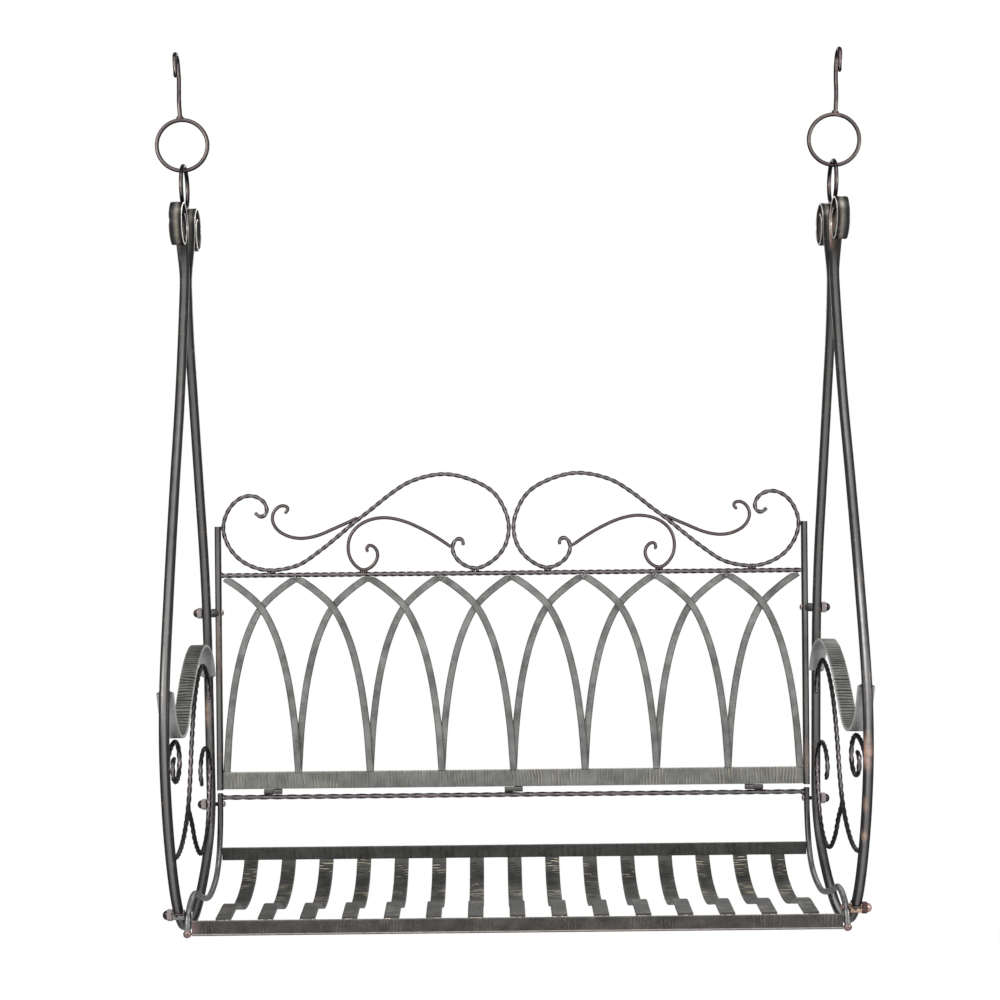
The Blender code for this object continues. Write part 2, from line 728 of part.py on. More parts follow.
def build_arches(irons):
    """Seven full arches, each two bars crossing the next arch's, joined under the top rail."""
    top = TOP_RAIL_Z - RAIL_HALF_DIAGONAL - GAP
    for index in range(1, BAYS):
        x = (index - BAYS / 2) * BAY_WIDTH
        right = arch_bar(f"arch_{index}", x, 1, -1)
        left = helper(arch_bar(f"arch_{index}_left", x, -1, 1))
        stub = box(f"arch_{index}_stub", (ARCH_WIDTH, 2 * ARCH_THICKNESS + GAP, ARCH_STUB))
        stub.location = (x, BACK_Y, top - ARCH_STUB / 2)
        helper(stub)
        boolean(right, stub, "UNION")
        boolean(right, left, "UNION")
        keep(right, irons["arch"])


def build_back(irons, holes):
    """Posts, rails and arches of the back panel."""
    edge_x = BAYS / 2 * BAY_WIDTH
    build_post("left", -1, irons, holes["left"], arch_bar("corner_bar_left", -edge_x, 1, -1))
    build_post("right", 1, irons, holes["right"], arch_bar("corner_bar_right", edge_x, -1, 1))
    build_arches(irons)
    reach = POST_INNER_X - GAP
    ends = [Vector((-reach, 0, 0)), Vector((reach, 0, 0))]
    line = evenly(ends, TWIST_STEP_SHARE * RAIL_QUARTER_TURN)
    rail = bar("top_rail", line, RAIL_HALF_DIAGONAL, 0, RAIL_QUARTER_TURN)
    rail.location = (0, BACK_Y, TOP_RAIL_Z)
    keep(rail, irons["twisted"])


def build_hinges(irons):
    """The flat bottom rail and the twisted hinge rod, with three barrel hinges between."""
    rail = box("bottom_rail", (2 * (POST_INNER_X - GAP), BOTTOM_RAIL_THICKNESS, BOTTOM_RAIL_HEIGHT))
    rail.location = (0, BACK_Y, BOTTOM_RAIL_Z)
    reach = SEAT_SPAN / 2
    ends = [Vector((-reach, 0, 0)), Vector((reach, 0, 0))]
    line = evenly(ends, TWIST_STEP_SHARE * RAIL_QUARTER_TURN)
    rod = bar("hinge_rod", line, RAIL_HALF_DIAGONAL, 0, RAIL_QUARTER_TURN)
    rod.location = (0, BACK_Y, ROD_Z)
    rod = solid_mesh(rod)
    rail_edge = BOTTOM_RAIL_Z - BOTTOM_RAIL_HEIGHT / 2
    axis_z = (rail_edge + ROD_Z + RAIL_HALF_DIAGONAL) / 2
    half = (HINGE_LENGTH - GAP) / 2
    for index in (-1, 0, 1):
        x = index * HINGE_SPREAD
        rail_side = -1 if index == 1 else 1
        for owner, end, side in ((rail, rail_edge, rail_side), (rod, ROD_Z, -rail_side)):
            middle = x + side * (half + GAP) / 2
            barrel = cross_cylinder("barrel", HINGE_RADIUS, half, 10)
            barrel.location = (middle, BACK_Y, axis_z)
            tab_height = abs(end - axis_z) + BOTTOM_RAIL_THICKNESS / 2
            tab = box("tab", (half, HINGE_RADIUS, tab_height))
            way = 1 if end > axis_z else -1
            tab.location = (middle, BACK_Y, axis_z + way * tab_height / 2)
            for joined in (tab, barrel):
                boolean(owner, helper(joined), "UNION")
        pin_length = HINGE_PIN_LENGTH + half / 2
        pin = cross_cylinder("hinge_pin", HINGE_PIN_RADIUS, pin_length, 10)
        pin.location = (x + rail_side * (HINGE_PIN_LENGTH - pin_length / 2), BACK_Y, axis_z)
        bore_length = HINGE_PIN_LENGTH + GAP
        bore = cross_cylinder("hinge_bore", HINGE_PIN_RADIUS + HINGE_PIN_CLEARANCE, 2 * bore_length, 10)
        bore.location = (x, BACK_Y, axis_z)
        boolean(rail, helper(bore), "DIFFERENCE")
        boolean(rod, helper(pin), "UNION")
    keep(rail, irons["flat"])
    keep(rod, irons["twisted"])


def seat_point(shares):
    """A place on the seat's profile, as (y, z)."""
    way = LOWER_BOLT - FRONT_BOLT
    return FRONT_BOLT + Vector((shares[0] * way.x, PIVOT_Z + shares[1] * way.y))


def build_seat(irons, holes):
    """Side bars, front and rear rails, and hammered slats between the rails."""
    shares = [*SIDE_BAR_REAR_SHARES, (0.0, 0.0), *SIDE_BAR_FRONT_SHARES]
    line = flowing([seat_point(pair) for pair in shares])
    for side_name, sign in (("left", -1), ("right", 1)):
        points = in_plane(paced(line, 8 * SIDE_BAR_RADIUS, BAR_TURN))
        side_bar = bar("seat_side_" + side_name, points, SIDE_BAR_RADIUS)
        side_bar.location = (sign * SIDE_BAR_X, 0, 0)
        side_bar = solid_mesh(side_bar)
        bpy.ops.mesh.primitive_uv_sphere_add(segments=10, ring_count=6, radius=SIDE_BALL_RADIUS)
        ball = bpy.context.object
        ball.location = (sign * SIDE_BAR_X, line[-1].x, line[-1].y)
        boolean(side_bar, helper(ball), "UNION")
        boolean(side_bar, holes[side_name]["lower"], "DIFFERENCE")
        boolean(side_bar, holes[side_name]["front"], "DIFFERENCE")
        keep(side_bar, irons["leg"])
    front_span = 2 * (SIDE_BAR_X - SIDE_BALL_RADIUS - GAP)
    front_y = FRONT_BOLT.x - FRONT_RAIL_SET
    front_z = PIVOT_Z + FRONT_BOLT.y - FRONT_RAIL_DROP
    rear_y = LOWER_BOLT.x - REAR_RAIL_SET
    rear_z = PIVOT_Z + FRONT_BOLT.y + REAR_RAIL_RISE
    rails = (
        ("front_rail", front_span, front_y, front_z, FRONT_RAIL_HEIGHT),
        ("rear_rail", SEAT_SPAN, rear_y, rear_z, REAR_RAIL_HEIGHT),
    )
    for name, span, y, z, height in rails:
        rail = box(name, (span, SEAT_RAIL_THICKNESS, height))
        rail.location = (0, y, z)
        keep(rail, irons["flat"])
    front_top = Vector((front_y, front_z + FRONT_RAIL_HEIGHT / 2 + GAP + SLAT_THICKNESS / 2))
    rear_low = Vector((rear_y, rear_z - REAR_RAIL_HEIGHT / 2))
    line = [rear_low, *[seat_point(pair) for pair in SLAT_SHARES], front_top]
    line = paced(flowing(line), 2 * SLAT_WIDTH, FLAT_TURN)
    rear_edge = [rear_low, Vector((front_y, rear_low.y))]
    line = begun(line, rear_edge, 0, SLAT_THICKNESS / 2)
    for index in range(SLATS):
        slat = side_plate(f"slat_{index + 1:02d}", line, SLAT_THICKNESS, SLAT_WIDTH)
        slat.location = ((index - (SLATS - 1) / 2) * SLAT_PITCH, 0, 0)
        keep(slat, irons["flat"])


def crest_line(shares, sign, spacing):
    """A crest scroll's centreline on one side of the middle."""
    inner = CREST_HALF_DIAGONAL + GAP / 2
    outer = POST_INNER_X - GAP - CREST_HALF_DIAGONAL
    base = TOP_RAIL_Z + RAIL_HALF_DIAGONAL + GAP + CREST_HALF_DIAGONAL
    knots = [
        (sign * (inner + across * (outer - inner)), BACK_Y, base + up * CREST_RISE)
        for across, up in shares
    ]
    return paced(flowing(knots), spacing, BAR_TURN)


def build_crest(irons):
    """On each side one long twisted scroll and two small plain ones that end on it."""
    for side_name, sign in (("left", -1), ("right", 1)):
        main = crest_line(MAIN_CREST_SHARES, sign, TWIST_STEP_SHARE * CREST_QUARTER_TURN)
        name = "crest_scroll_" + side_name
        keep(bar(name, main, CREST_HALF_DIAGONAL, 0, CREST_QUARTER_TURN), irons["twisted"])
        step = 5 * SMALL_SCROLL_RADIUS
        outer = crest_line(OUTER_CREST_SHARES, sign, step)
        outer = ended(outer, main, OUTER_SEAT_SHARE * CREST_HALF_DIAGONAL, SMALL_SCROLL_RADIUS)
        inner = crest_line(INNER_CREST_SHARES, sign, step)
        inner = begun(inner, main, INNER_SEAT_SHARE * CREST_HALF_DIAGONAL, SMALL_SCROLL_RADIUS)
        for name, line in (("outer_crest_", outer), ("inner_crest_", inner)):
            keep(bar(name + side_name, line, SMALL_SCROLL_RADIUS), irons["wire"])


def build():
    irons = {
        "wire": iron("dark_wire", (0.06, 0.045, 0.042), 0.45, 0.8),
        "leg": iron("dark_bronze", (0.07, 0.065, 0.055), 0.42, 0.8),
        "twisted": iron("twisted_iron", (0.08, 0.07, 0.068), 0.45, 0.8),
        "flat": iron("hammered_iron", (0.085, 0.085, 0.075), 0.5, 0.75),
        "arch": iron("satin_iron", (0.11, 0.11, 0.10), 0.5, 0.7),
        "bolt": iron("rubbed_copper", (0.22, 0.12, 0.09), 0.4, 0.85),
    }
    holes = {}
    for side_name, sign in (("left", -1), ("right", 1)):
        build_hanger(side_name, sign, irons["wire"])
        holes[side_name] = build_side(side_name, sign, irons)
    build_back(irons, holes)
    build_hinges(irons)
    build_seat(irons, holes)
    build_crest(irons)


build()
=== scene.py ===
"""Wrought iron swing bench in rubbed bronze paint, hung in a white studio.

Metres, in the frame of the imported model: +X to the viewer's right, the front faces -Y, +Z up.
Every bar is forged again here on the same lines and sizes as its solid, with rounder
sections, the real pitch of twist, hammer marks, weld beads and worn paint.
"""

import math
import random

import bmesh
import bpy
from mathutils import Matrix, Vector, noise


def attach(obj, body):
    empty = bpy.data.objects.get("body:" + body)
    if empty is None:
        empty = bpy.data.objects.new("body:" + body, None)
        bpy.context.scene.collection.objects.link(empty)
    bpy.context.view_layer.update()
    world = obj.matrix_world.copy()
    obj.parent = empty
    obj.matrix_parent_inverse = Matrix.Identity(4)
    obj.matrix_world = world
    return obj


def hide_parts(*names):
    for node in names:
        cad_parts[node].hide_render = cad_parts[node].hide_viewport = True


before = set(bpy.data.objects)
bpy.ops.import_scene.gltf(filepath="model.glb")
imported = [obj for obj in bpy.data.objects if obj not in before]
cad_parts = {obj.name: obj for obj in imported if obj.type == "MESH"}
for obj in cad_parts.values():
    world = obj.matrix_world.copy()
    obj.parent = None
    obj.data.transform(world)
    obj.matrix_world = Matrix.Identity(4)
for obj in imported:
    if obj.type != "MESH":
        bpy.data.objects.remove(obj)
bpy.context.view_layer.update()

# Hangers: on each side a round hook shank is welded on a round ring that faces the front.
# Both are plain round wire, painted dark bronze, and the paint is rubbed to copper in places.
# The hook bears on the eye that carries the bench; the ring takes the side frame's ring.
RING_DROP, RING_RADIUS, RING_WIRE = 0.168, 0.048, 0.004
HOOK_WIRE, HOOK_BEND, HOOK_STEP = 0.0045, 0.020, 0.003
HOOK_CROWN = 0.0042  # how far the crown's middle line stands above the line it hangs on
RING_SKIN, HOOK_SKIN = 0.00012, 0.0002  # how much finer the wire is than its solid
HANGER_LEAN = math.radians(3.5)
PIVOT_X, PIVOT_Z = 0.615, -RING_DROP - RING_RADIUS
GAP = 0.0003
HOOK_BEAD = 0.0038
SIDES = (("left", -1), ("right", 1))
X_AXIS, Y_AXIS = Vector((1, 0, 0)), Vector((0, 1, 0))
MARKS = ("along", "across", "over", "fore", "arris")


class Tone:
    """A socket in a finish's node tree. Sums and products of tones add Math nodes."""

    def __init__(self, tree, socket):
        self.tree = tree
        self.socket = socket

    def node(self, kind, settings=None, sockets=None, output=0):
        """Adds a node with its settings, then fills its sockets with values or tones."""
        made = self.tree.nodes.new(kind)
        for key, value in (settings or {}).items():
            if key == "stops":
                ramp = made.color_ramp
                while len(ramp.elements) < len(value):
                    ramp.elements.new(0.5)
                for element, (place, color) in zip(ramp.elements, value):
                    element.position = place
                    element.color = (*color, 1)
            else:
                setattr(made, key, value)
        for key, value in (sockets or {}).items():
            if isinstance(value, Tone):
                self.tree.links.new(value.socket, made.inputs[key])
            else:
                made.inputs[key].default_value = value
        return Tone(self.tree, made.outputs[output])

    def _math(self, operation, *values):
        return self.node("ShaderNodeMath", {"operation": operation}, dict(enumerate(values)))

    def __add__(self, other):
        return self._math("ADD", self, other)

    __radd__ = __add__

    def __sub__(self, other):
        return self._math("SUBTRACT", self, other)

    def __rsub__(self, other):
        return self._math("SUBTRACT", other, self)

    def __mul__(self, other):
        return self._math("MULTIPLY", self, other)

    __rmul__ = __mul__

    def __abs__(self):
        return self._math("ABSOLUTE", self)

    def floor(self):
        return self._math("FLOOR", self)

    def sign(self):
        return self._math("SIGN", self)

    def between(self, low, high):
        """0 below low, 1 above high, and a smooth rise from one to the other."""
        return self.node(
            "ShaderNodeMapRange", {"interpolation_type": "SMOOTHSTEP"},
            {"Value": self, "From Min": low, "From Max": high},
        )

    def blend(self, color, share):
        """This colour, changed towards another by a share from 0 to 1."""
        sockets = {"Factor": share, "A": self, "B": (*color, 1)}
        return self.node("ShaderNodeMix", {"data_type": "RGBA"}, sockets, 2)

    def mottle(self, scale, detail=3.0):
        """Cloudy noise, about 0 to 1, at this place."""
        sockets = {"Vector": self, "Scale": scale, "Detail": detail}
        return self.node("ShaderNodeTexNoise", {}, sockets)

    def part(self, axis):
        """One part of this place or way: X, Y or Z."""
        return self.node("ShaderNodeSeparateXYZ", {}, {"Vector": self}, axis)

    def away(self, centre):
        """How far this place is from a centre."""
        sockets = {0: self, 1: centre}
        return self.node("ShaderNodeVectorMath", {"operation": "DISTANCE"}, sockets, "Value")


def bronze_paint(
    name, dark, light, worn, wear=0.3, metal=0.8, shine=0.42, crown=0.0, ridge=0.0, front_light=0.0,
    light_range=(0.62, 0.99), rim=0.0, edge_shade=0.0, strokes=0.0, gold=0.0, pitch=0.0055, patches=(),
    extra=None,
):
    """Dark bronze paint over iron, cloudy and speckled, rubbed to copper in places, with painted
    highlights on the metal's high places and painted shade beside them.

    Crown is how much paler the middle of a face is painted than its sides: a painted highlight
    on a dome, with painted shade at its sides. Ridge is the same painted highlight for the
    arrises of a twisted bar. The front light is how much paler, as painted light, the faces are
    that look to the front or the back (nothing of it at the range's first value, all of it at the
    second). Rim is a painted highlight along the edges of a flat bar, and the edge shade is how
    dark a painted shade makes a bar along its edges.
    Wear is how much copper shows in flecks. Patches are places, each with a radius and a
    strength, where the paint is rubbed to copper. Strokes are cross cuts of a hammer's
    narrow edge, about one to a pitch, each darkened with painted shade, and gold the bright
    lips of some. Extra is a last change to the colour, made from the place, the marks of the
    mesh and the scuffs.
    """
    finish = bpy.data.materials.new(name)
    finish.use_nodes = True
    tree = finish.node_tree
    shader = tree.nodes["Principled BSDF"]
    start = Tone(tree, None)
    place = start.node("ShaderNodeTexCoord", output="Object")
    marks = {
        mark: start.node("ShaderNodeAttribute", {"attribute_name": mark}, output="Fac")
        for mark in MARKS
    }
    across, arris = marks["across"], marks["arris"]
    clouds = place.mottle(38.0)
    scuffs = place.mottle(95.0)
    grain = place.mottle(620.0, 2.0)
    tone = clouds * 0.50 + grain * 0.50
    # Painted highlight down the middle of a face, painted shade at its sides.
    if crown:
        tone = tone * (1 - crown) + (1 - abs(across)).between(0.12, 0.95) * crown
    # Painted highlight on the arrises, painted shade between them.
    if ridge:
        tone = tone * (1 - ridge) + arris.between(0.0, 1.0) * ridge
    # Painted light: faces that look to the front or the back are painted paler, the others darker.
    if front_light:
        towards = abs(start.node("ShaderNodeTexCoord", output="Normal").part("Y"))
        front_lit = (marks["fore"] * 0.8 + towards * 0.2).between(*light_range)
        tone = tone * (1 - front_light) + front_lit * front_light
    # Painted shade along the bar's edges.
    if edge_shade:
        tone = tone - abs(across).between(0.62, 1.0) * edge_shade
    stops = [(0.34, dark), (0.66, light)]
    color = start.node("ShaderNodeValToRGB", {"stops": stops}, {"Fac": tone})
    height = grain * 0.25 + clouds * 0.15
    # Painted highlight along the edges of a flat bar, patchy with the scuffs.
    if rim:
        pale = [min(0.55, 1.9 * part + 0.06) for part in light]
        edge = abs(across).between(0.86, 0.97)
        color = color.blend(pale, edge * (scuffs * 0.9 + 0.35) * rim)
    if strokes:
        travel = (marks["along"] + place.mottle(20.0, 1.0) * 0.014) * (1 / pitch)
        number = travel.floor()
        phase = travel - number
        lane = start.node("ShaderNodeCombineXYZ", {}, {
            "X": number * 7.31, "Y": across * 0.35, "Z": place.mottle(6.0) * 3.0,
        })
        reach = lane.mottle(1.0, 1.0)
        cut = (1 - abs(phase - 0.40).between(0.10, 0.26)) * reach.between(0.44, 0.54) * strokes
        lip = (1 - abs(phase - 0.74).between(0.08, 0.20)) * reach.between(0.47, 0.54)
        field = place.mottle(15.0, 1.0).between(0.47, 0.60)
        color = color.blend((0.46, 0.42, 0.325), lip * field * gold)
        # Painted shade in each hammer cut.
        color = color.blend([part * 0.35 for part in dark], cut * 0.85)
        height = height - cut * 1.6
    # Painted shade: where the edge share is below 0, in the armrest's hammer cuts, the colour is
    # painted nearly black.
    cut_shade = (0 - arris).between(0.0, 0.45)
    color = color.blend([part * 0.22 for part in dark], cut_shade * 0.92)
    rub = (arris * 0.12 + scuffs + clouds * 0.30).between(0.80, 0.94) * wear
    if patches:
        squat = (1, 1, 0.24)
        squashed = {0: place, 1: squat}
        low_place = start.node("ShaderNodeVectorMath", {"operation": "MULTIPLY"}, squashed)
        for centre, radius, strength in patches:
            near = 1 - low_place.away([c * s for c, s in zip(centre, squat)]).between(0.0, radius)
            rub = rub + near * (scuffs.between(0.25, 0.62) * 0.7 + 0.3) * strength
    rub = start.node("ShaderNodeClamp", {}, {"Value": rub})
    color = color.blend(worn, rub)
    if extra:
        color = extra(color, place, marks, scuffs)
    rough = grain * 0.22 + clouds * 0.16 + (shine - 0.19)
    bump = start.node(
        "ShaderNodeBump", {}, {"Strength": 0.5, "Distance": 0.0004, "Height": height},
    )
    shader.inputs["Specular Tint"].default_value = (0.32, 0.32, 0.32, 1)
    for key, fed in (
        ("Base Color", color), ("Roughness", rough), ("Metallic", rub * 0.15 + metal),
        ("Normal", bump),
    ):
        tree.links.new(fed.socket, shader.inputs[key])
    return finish


# The wire is painted paler on faces that look to the front or the back and darker on the others, as
# painted light.
WIRE_PAINT = bronze_paint(
    "wire_paint", (0.009, 0.006, 0.0065), (0.136, 0.110, 0.107), (0.36, 0.22, 0.18),
    wear=0.30, shine=0.34, front_light=0.80, light_range=(0.72, 1.0),
)


def flowing(knots, steps=24):
    """A smooth line through the knots: centripetal Catmull-Rom spans."""
    line = [Vector(knot) for knot in knots]
    line = [2 * line[0] - line[1], *line, 2 * line[-1] - line[-2]]
    points = []
    for a, b, c, d in zip(line, line[1:], line[2:], line[3:]):
        t1 = math.sqrt((b - a).length)
        t2 = t1 + math.sqrt((c - b).length)
        t3 = t2 + math.sqrt((d - c).length)
        for step in range(steps):
            t = t1 + (t2 - t1) * step / steps
            ab = a.lerp(b, t / t1)
            bc = b.lerp(c, (t - t1) / (t2 - t1))
            cd = c.lerp(d, (t - t2) / (t3 - t2))
            low = ab.lerp(bc, t / t2)
            high = bc.lerp(cd, (t - t1) / (t3 - t1))
            points.append(low.lerp(high, (t - t1) / (t2 - t1)))
    return points + [line[-2]]


def evenly(points, spacing):
    """The same line with points about this far apart, evenly spaced along it."""
    travelled = [0.0]
    for a, b in zip(points, points[1:]):
        travelled.append(travelled[-1] + (b - a).length)
    count = max(2, round(travelled[-1] / spacing))
    found = []
    span = 0
    for step in range(count + 1):
        aim = travelled[-1] * step / count
        while span < len(points) - 2 and travelled[span + 1] < aim:
            span += 1
        share = (aim - travelled[span]) / (travelled[span + 1] - travelled[span])
        found.append(points[span].lerp(points[span + 1], share))
    return found


def circle(radius, middle_z, wide_way):
    """An upright ring's line, with its middle at a height and its width along a way."""
    angles = [2 * math.pi * step / 72 for step in range(72)]
    return [
        wide_way * (radius * math.sin(a)) + Vector((0, 0, middle_z + radius * math.cos(a)))
        for a in angles
    ]


def round_section(radius, sides=16):
    """Section of a round bar: (sideways, outwards, how far it is an edge)."""
    angles = [2 * math.pi * side / sides for side in range(sides)]
    return [(radius * math.cos(a), radius * math.sin(a), 0.35) for a in angles]


def forged(
    name, line, side, section, body="bench", twist=0.0, closed=False, dent=0.0, taper=0.0,
):
    """Sweeps a section along a line that lies in the plane square to side.

    Section is one list, or a function of the travel that gives one. Twist is the length of
    a quarter turn. Dent is how deep the hammer sank the skin. Taper is the length over which
    both ends narrow. Every point keeps its travel, its places across the wide and the thin
    way from -1 to 1, how far it looks to the front or back, and its edge share, which is
    below 0 in a cut.
    """
    work = bmesh.new()
    along, across, over, fore, arris = (work.verts.layers.float.new(mark) for mark in MARKS)
    lengths = [0.0]
    for a, b in zip(line, line[1:]):
        lengths.append(lengths[-1] + (b - a).length)
    rings = []
    last = len(line) - 1
    for index, point in enumerate(line):
        before = line[index - 1] if index or closed else point
        after = line[(index + 1) % len(line)] if index < last or closed else point
        way = (after - before).normalized()
        out = way.cross(side).normalized()
        turn = math.radians(90) * lengths[index] / twist if twist else 0.0
        u_way = side * math.cos(turn) + out * math.sin(turn)
        v_way = out * math.cos(turn) - side * math.sin(turn)
        reach = 1.0
        if taper:
            end = min(lengths[index], lengths[-1] - lengths[index])
            reach = 0.62 + 0.38 * math.sqrt(min(1.0, end / taper))
        ring = []
        rim = section(lengths[index]) if callable(section) else section
        u_most, v_most = max(u for u, _, _ in rim), max(v for _, v, _ in rim)
        u_least, v_least = min(u for u, _, _ in rim), min(v for _, v, _ in rim)
        lies_flat = u_most - u_least > v_most - v_least - 1e-6
        for u, v, edge in rim:
            place = point + (u_way * u + v_way * v) * reach
            outwards = (u_way * u + v_way * v).normalized()
            if dent:
                place -= outwards * (dent * (0.5 + 0.5 * noise.noise(place * 140)))
            vertex = work.verts.new(place)
            vertex[fore] = abs(outwards.y)
            vertex[along] = lengths[index]
            wide = (2 * u - u_most - u_least) / (u_most - u_least)
            thin = (2 * v - v_most - v_least) / (v_most - v_least)
            vertex[across], vertex[over] = (wide, thin) if lies_flat else (thin, wide)
            vertex[arris] = edge
            ring.append(vertex)
        rings.append(ring)
    if closed:
        rings.append(rings[0])
    join(work, rings)
    if not closed:
        work.faces.new(rings[0])
        work.faces.new(rings[-1])
    return finished(name, work, body)


def join(work, rings):
    """Faces from each ring of points to the next."""
    for a, b in zip(rings, rings[1:]):
        for index in range(len(a)):
            after = (index + 1) % len(a)
            work.faces.new((a[index], a[after], b[after], b[index]))


def finished(name, work, body="bench", angle=38):
    """Turns the worked mesh into a piece that rides on a body."""
    bmesh.ops.recalc_face_normals(work, faces=work.faces)
    mesh = bpy.data.meshes.new(name)
    work.to_mesh(mesh)
    work.free()
    mesh.shade_smooth()
    mesh.set_sharp_from_angle(angle=math.radians(angle))
    piece = bpy.data.objects.new(name, mesh)
    bpy.context.scene.collection.objects.link(piece)
    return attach(piece, body)


def dressed(piece, finish, slot, *nodes, place=None):
    """Moves the piece's mesh to its place, gives it its finish and hides the CAD nodes it stands
    for. The slot is not used.

    A place that mirrors the mesh turns its faces inside out, so they are turned back.
    """
    if place:
        piece.data.transform(place)
        if place.determinant() < 0:
            piece.data.flip_normals()
    piece.data.materials.append(finish)
    if nodes:
        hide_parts(*nodes)


def weld_beads(name, places, radius, body="bench", stretch=(1, 1, 1)):
    """Small lumps of weld metal, each a little different, as one piece."""
    work = bmesh.new()
    arris = work.verts.layers.float.new("arris")
    fore = work.verts.layers.float.new("fore")
    rng = random.Random(len(places) + int(radius * 1e6))
    for place in places:
        size = radius * rng.uniform(0.8, 1.15)
        made = bmesh.ops.create_icosphere(work, subdivisions=2, radius=size)
        spin = Matrix.Rotation(rng.uniform(0, 6), 3, "Z")
        shift = Vector([rng.uniform(0, 50) for _ in range(3)])
        for vertex in made["verts"]:
            co = vertex.co * (1 + 0.35 * (noise.noise(vertex.co / radius * 0.9 + shift)))
            co = spin @ co
            vertex.co = Vector(place) + Vector([c * s for c, s in zip(co, stretch)])
            vertex[arris] = 0.75
            vertex[fore] = abs(co.normalized().y)
    return finished(name, work, body, 180)


def hung(sign, lean):
    """The place of a side's pieces: made about the pivot, then leant outwards."""
    upright = Matrix.Translation((sign * PIVOT_X, 0, PIVOT_Z))
    return upright @ Matrix.Rotation(sign * lean, 4, "Y")


rise = -PIVOT_Z / math.cos(HANGER_LEAN)
drop = rise - 2 * RING_RADIUS
knots = [
    (0, share * HOOK_BEND, rise - down * drop)
    for share, down in ((0.0, 1.0), (0.0, 0.72), (0.55, 0.5), (1.0, 0.3))
]
for step in range(13):
    a = math.pi * step / 12
    height = rise + HOOK_CROWN - HOOK_BEND + HOOK_BEND * math.sin(a)
    knots.append((0, HOOK_BEND * math.cos(a), height))
knots += [
    (0, share * HOOK_BEND, rise - down * drop) for share, down in ((-0.98, 0.28), (-1.25, 0.36))
]
hook_line = evenly(flowing(knots, 8), HOOK_STEP)
hook_foot = [(x, 0, 2 * RING_RADIUS + RING_WIRE) for x in (-0.003, 0.0, 0.003)]
for side_name, sign in SIDES:
    seat = hung(sign, HANGER_LEAN)
    ring = forged(
        "hanger_ring_" + side_name, circle(RING_RADIUS, RING_RADIUS, X_AXIS), Y_AXIS,
        round_section(RING_WIRE - RING_SKIN), "hangers", closed=True,
    )
    dressed(ring, WIRE_PAINT, "dark_wire", "hanger_" + side_name, place=seat)
    hook = forged(
        "hook_" + side_name, hook_line, X_AXIS, round_section(HOOK_WIRE - HOOK_SKIN),
        "hangers", dent=0.0003, taper=0.006,
    )
    dressed(hook, WIRE_PAINT, "dark_wire", "hanger_" + side_name, place=seat)
    beads = weld_beads("hook_weld_" + side_name, hook_foot, HOOK_BEAD, "hangers")
    dressed(beads, WIRE_PAINT, "dark_wire", place=seat)

# Side frames: a wire ring, seen on edge, sits in the notch between two curls. Each curl is
# the thinned and widened end of a leg, wound up hot. The legs below have a domed outer face
# and a flat inner one; the front leg's foot carries a spacer tube. All are welded together.
FRAME_LEAN = math.radians(0.75)
FRAME_RING_RADIUS = 0.041
CURL_RADIUS, CURL_THICKNESS, CURL_WIDTH = 0.0458, 0.005, 0.025
CURL_PITCH, CURL_OFFSET, CURL_TURNS, CURL_STEPS = 0.021, 0.006, 11 / 9, 88
LEG_WIDTH, LEG_THICKNESS, LEG_FLARE, LEG_STEP = 0.018, 0.012, 0.110, 0.006
FRAME_REACH, FRAME_DROP, FRAME_SET, FRAME_SET_SHARE = 0.350, 1.244, 0.0263, 0.385
SPACER_RADIUS, SPACER_LENGTH = 0.009, 0.021
# Colours of painted highlights: on the curls' middle and rims, and down the front legs' crown.
CURL_HIGHLIGHT, CURL_RIM_HIGHLIGHT = (0.33, 0.29, 0.23), (0.62, 0.60, 0.56)
CROWN_HIGHLIGHT, CROWN_GLARE = (0.46, 0.45, 0.44), (0.80, 0.79, 0.79)
FRONT_LEG = [
    (-0.034, 0.058), (-0.143, 0.163), (-0.286, 0.269), (-0.486, 0.388), (-0.757, 0.543),
    (-0.957, 0.678), (-1.0, 0.76), (-0.966, 0.838), (-0.886, 0.907), (-0.771, 0.967),
    (-0.671, 1.0),
]
REAR_LEG = [
    (0.034, 0.058), (0.09, 0.157), (0.214, 0.262), (0.371, 0.385), (0.496, 0.5),
    (0.557, 0.592), (0.572, 0.661), (0.572, 0.742), (0.57, 0.822), (0.557, 0.896),
    (0.471, 0.94), (0.3, 0.98), (0.106, 1.009), (-0.086, 1.029), (-0.314, 1.036),
    (-0.514, 1.026), (-0.671, 1.0),
]
RUBBED = {
    "left": (((0.572, 0.75), 0.011, 0.30), ((0.557, 0.87), 0.008, 0.4)),
    "right": (
        ((-0.999, 0.7675), 0.0115, 1.0), ((-0.963, 0.8425), 0.0075, 0.5),
        ((-0.915, 0.884), 0.0075, 0.75), ((-0.02, 0.005), 0.014, 0.7),
    ),
}
FRAME_RING_Z = 2 * RING_WIRE + GAP - FRAME_RING_RADIUS
CURL_Y = CURL_RADIUS + GAP / 2
CURL_REACH = FRAME_RING_RADIUS + RING_WIRE + CURL_RADIUS + GAP
CURL_Z = FRAME_RING_Z - math.sqrt(CURL_REACH**2 - CURL_Y**2)


def side_point(shares):
    """A place in a side frame's own plane, as a point in space with x at zero."""
    forward = FRAME_SET * min(1.0, shares[1] / FRAME_SET_SHARE)
    return Vector((0, shares[0] * FRAME_REACH - forward, CURL_Z - shares[1] * FRAME_DROP))


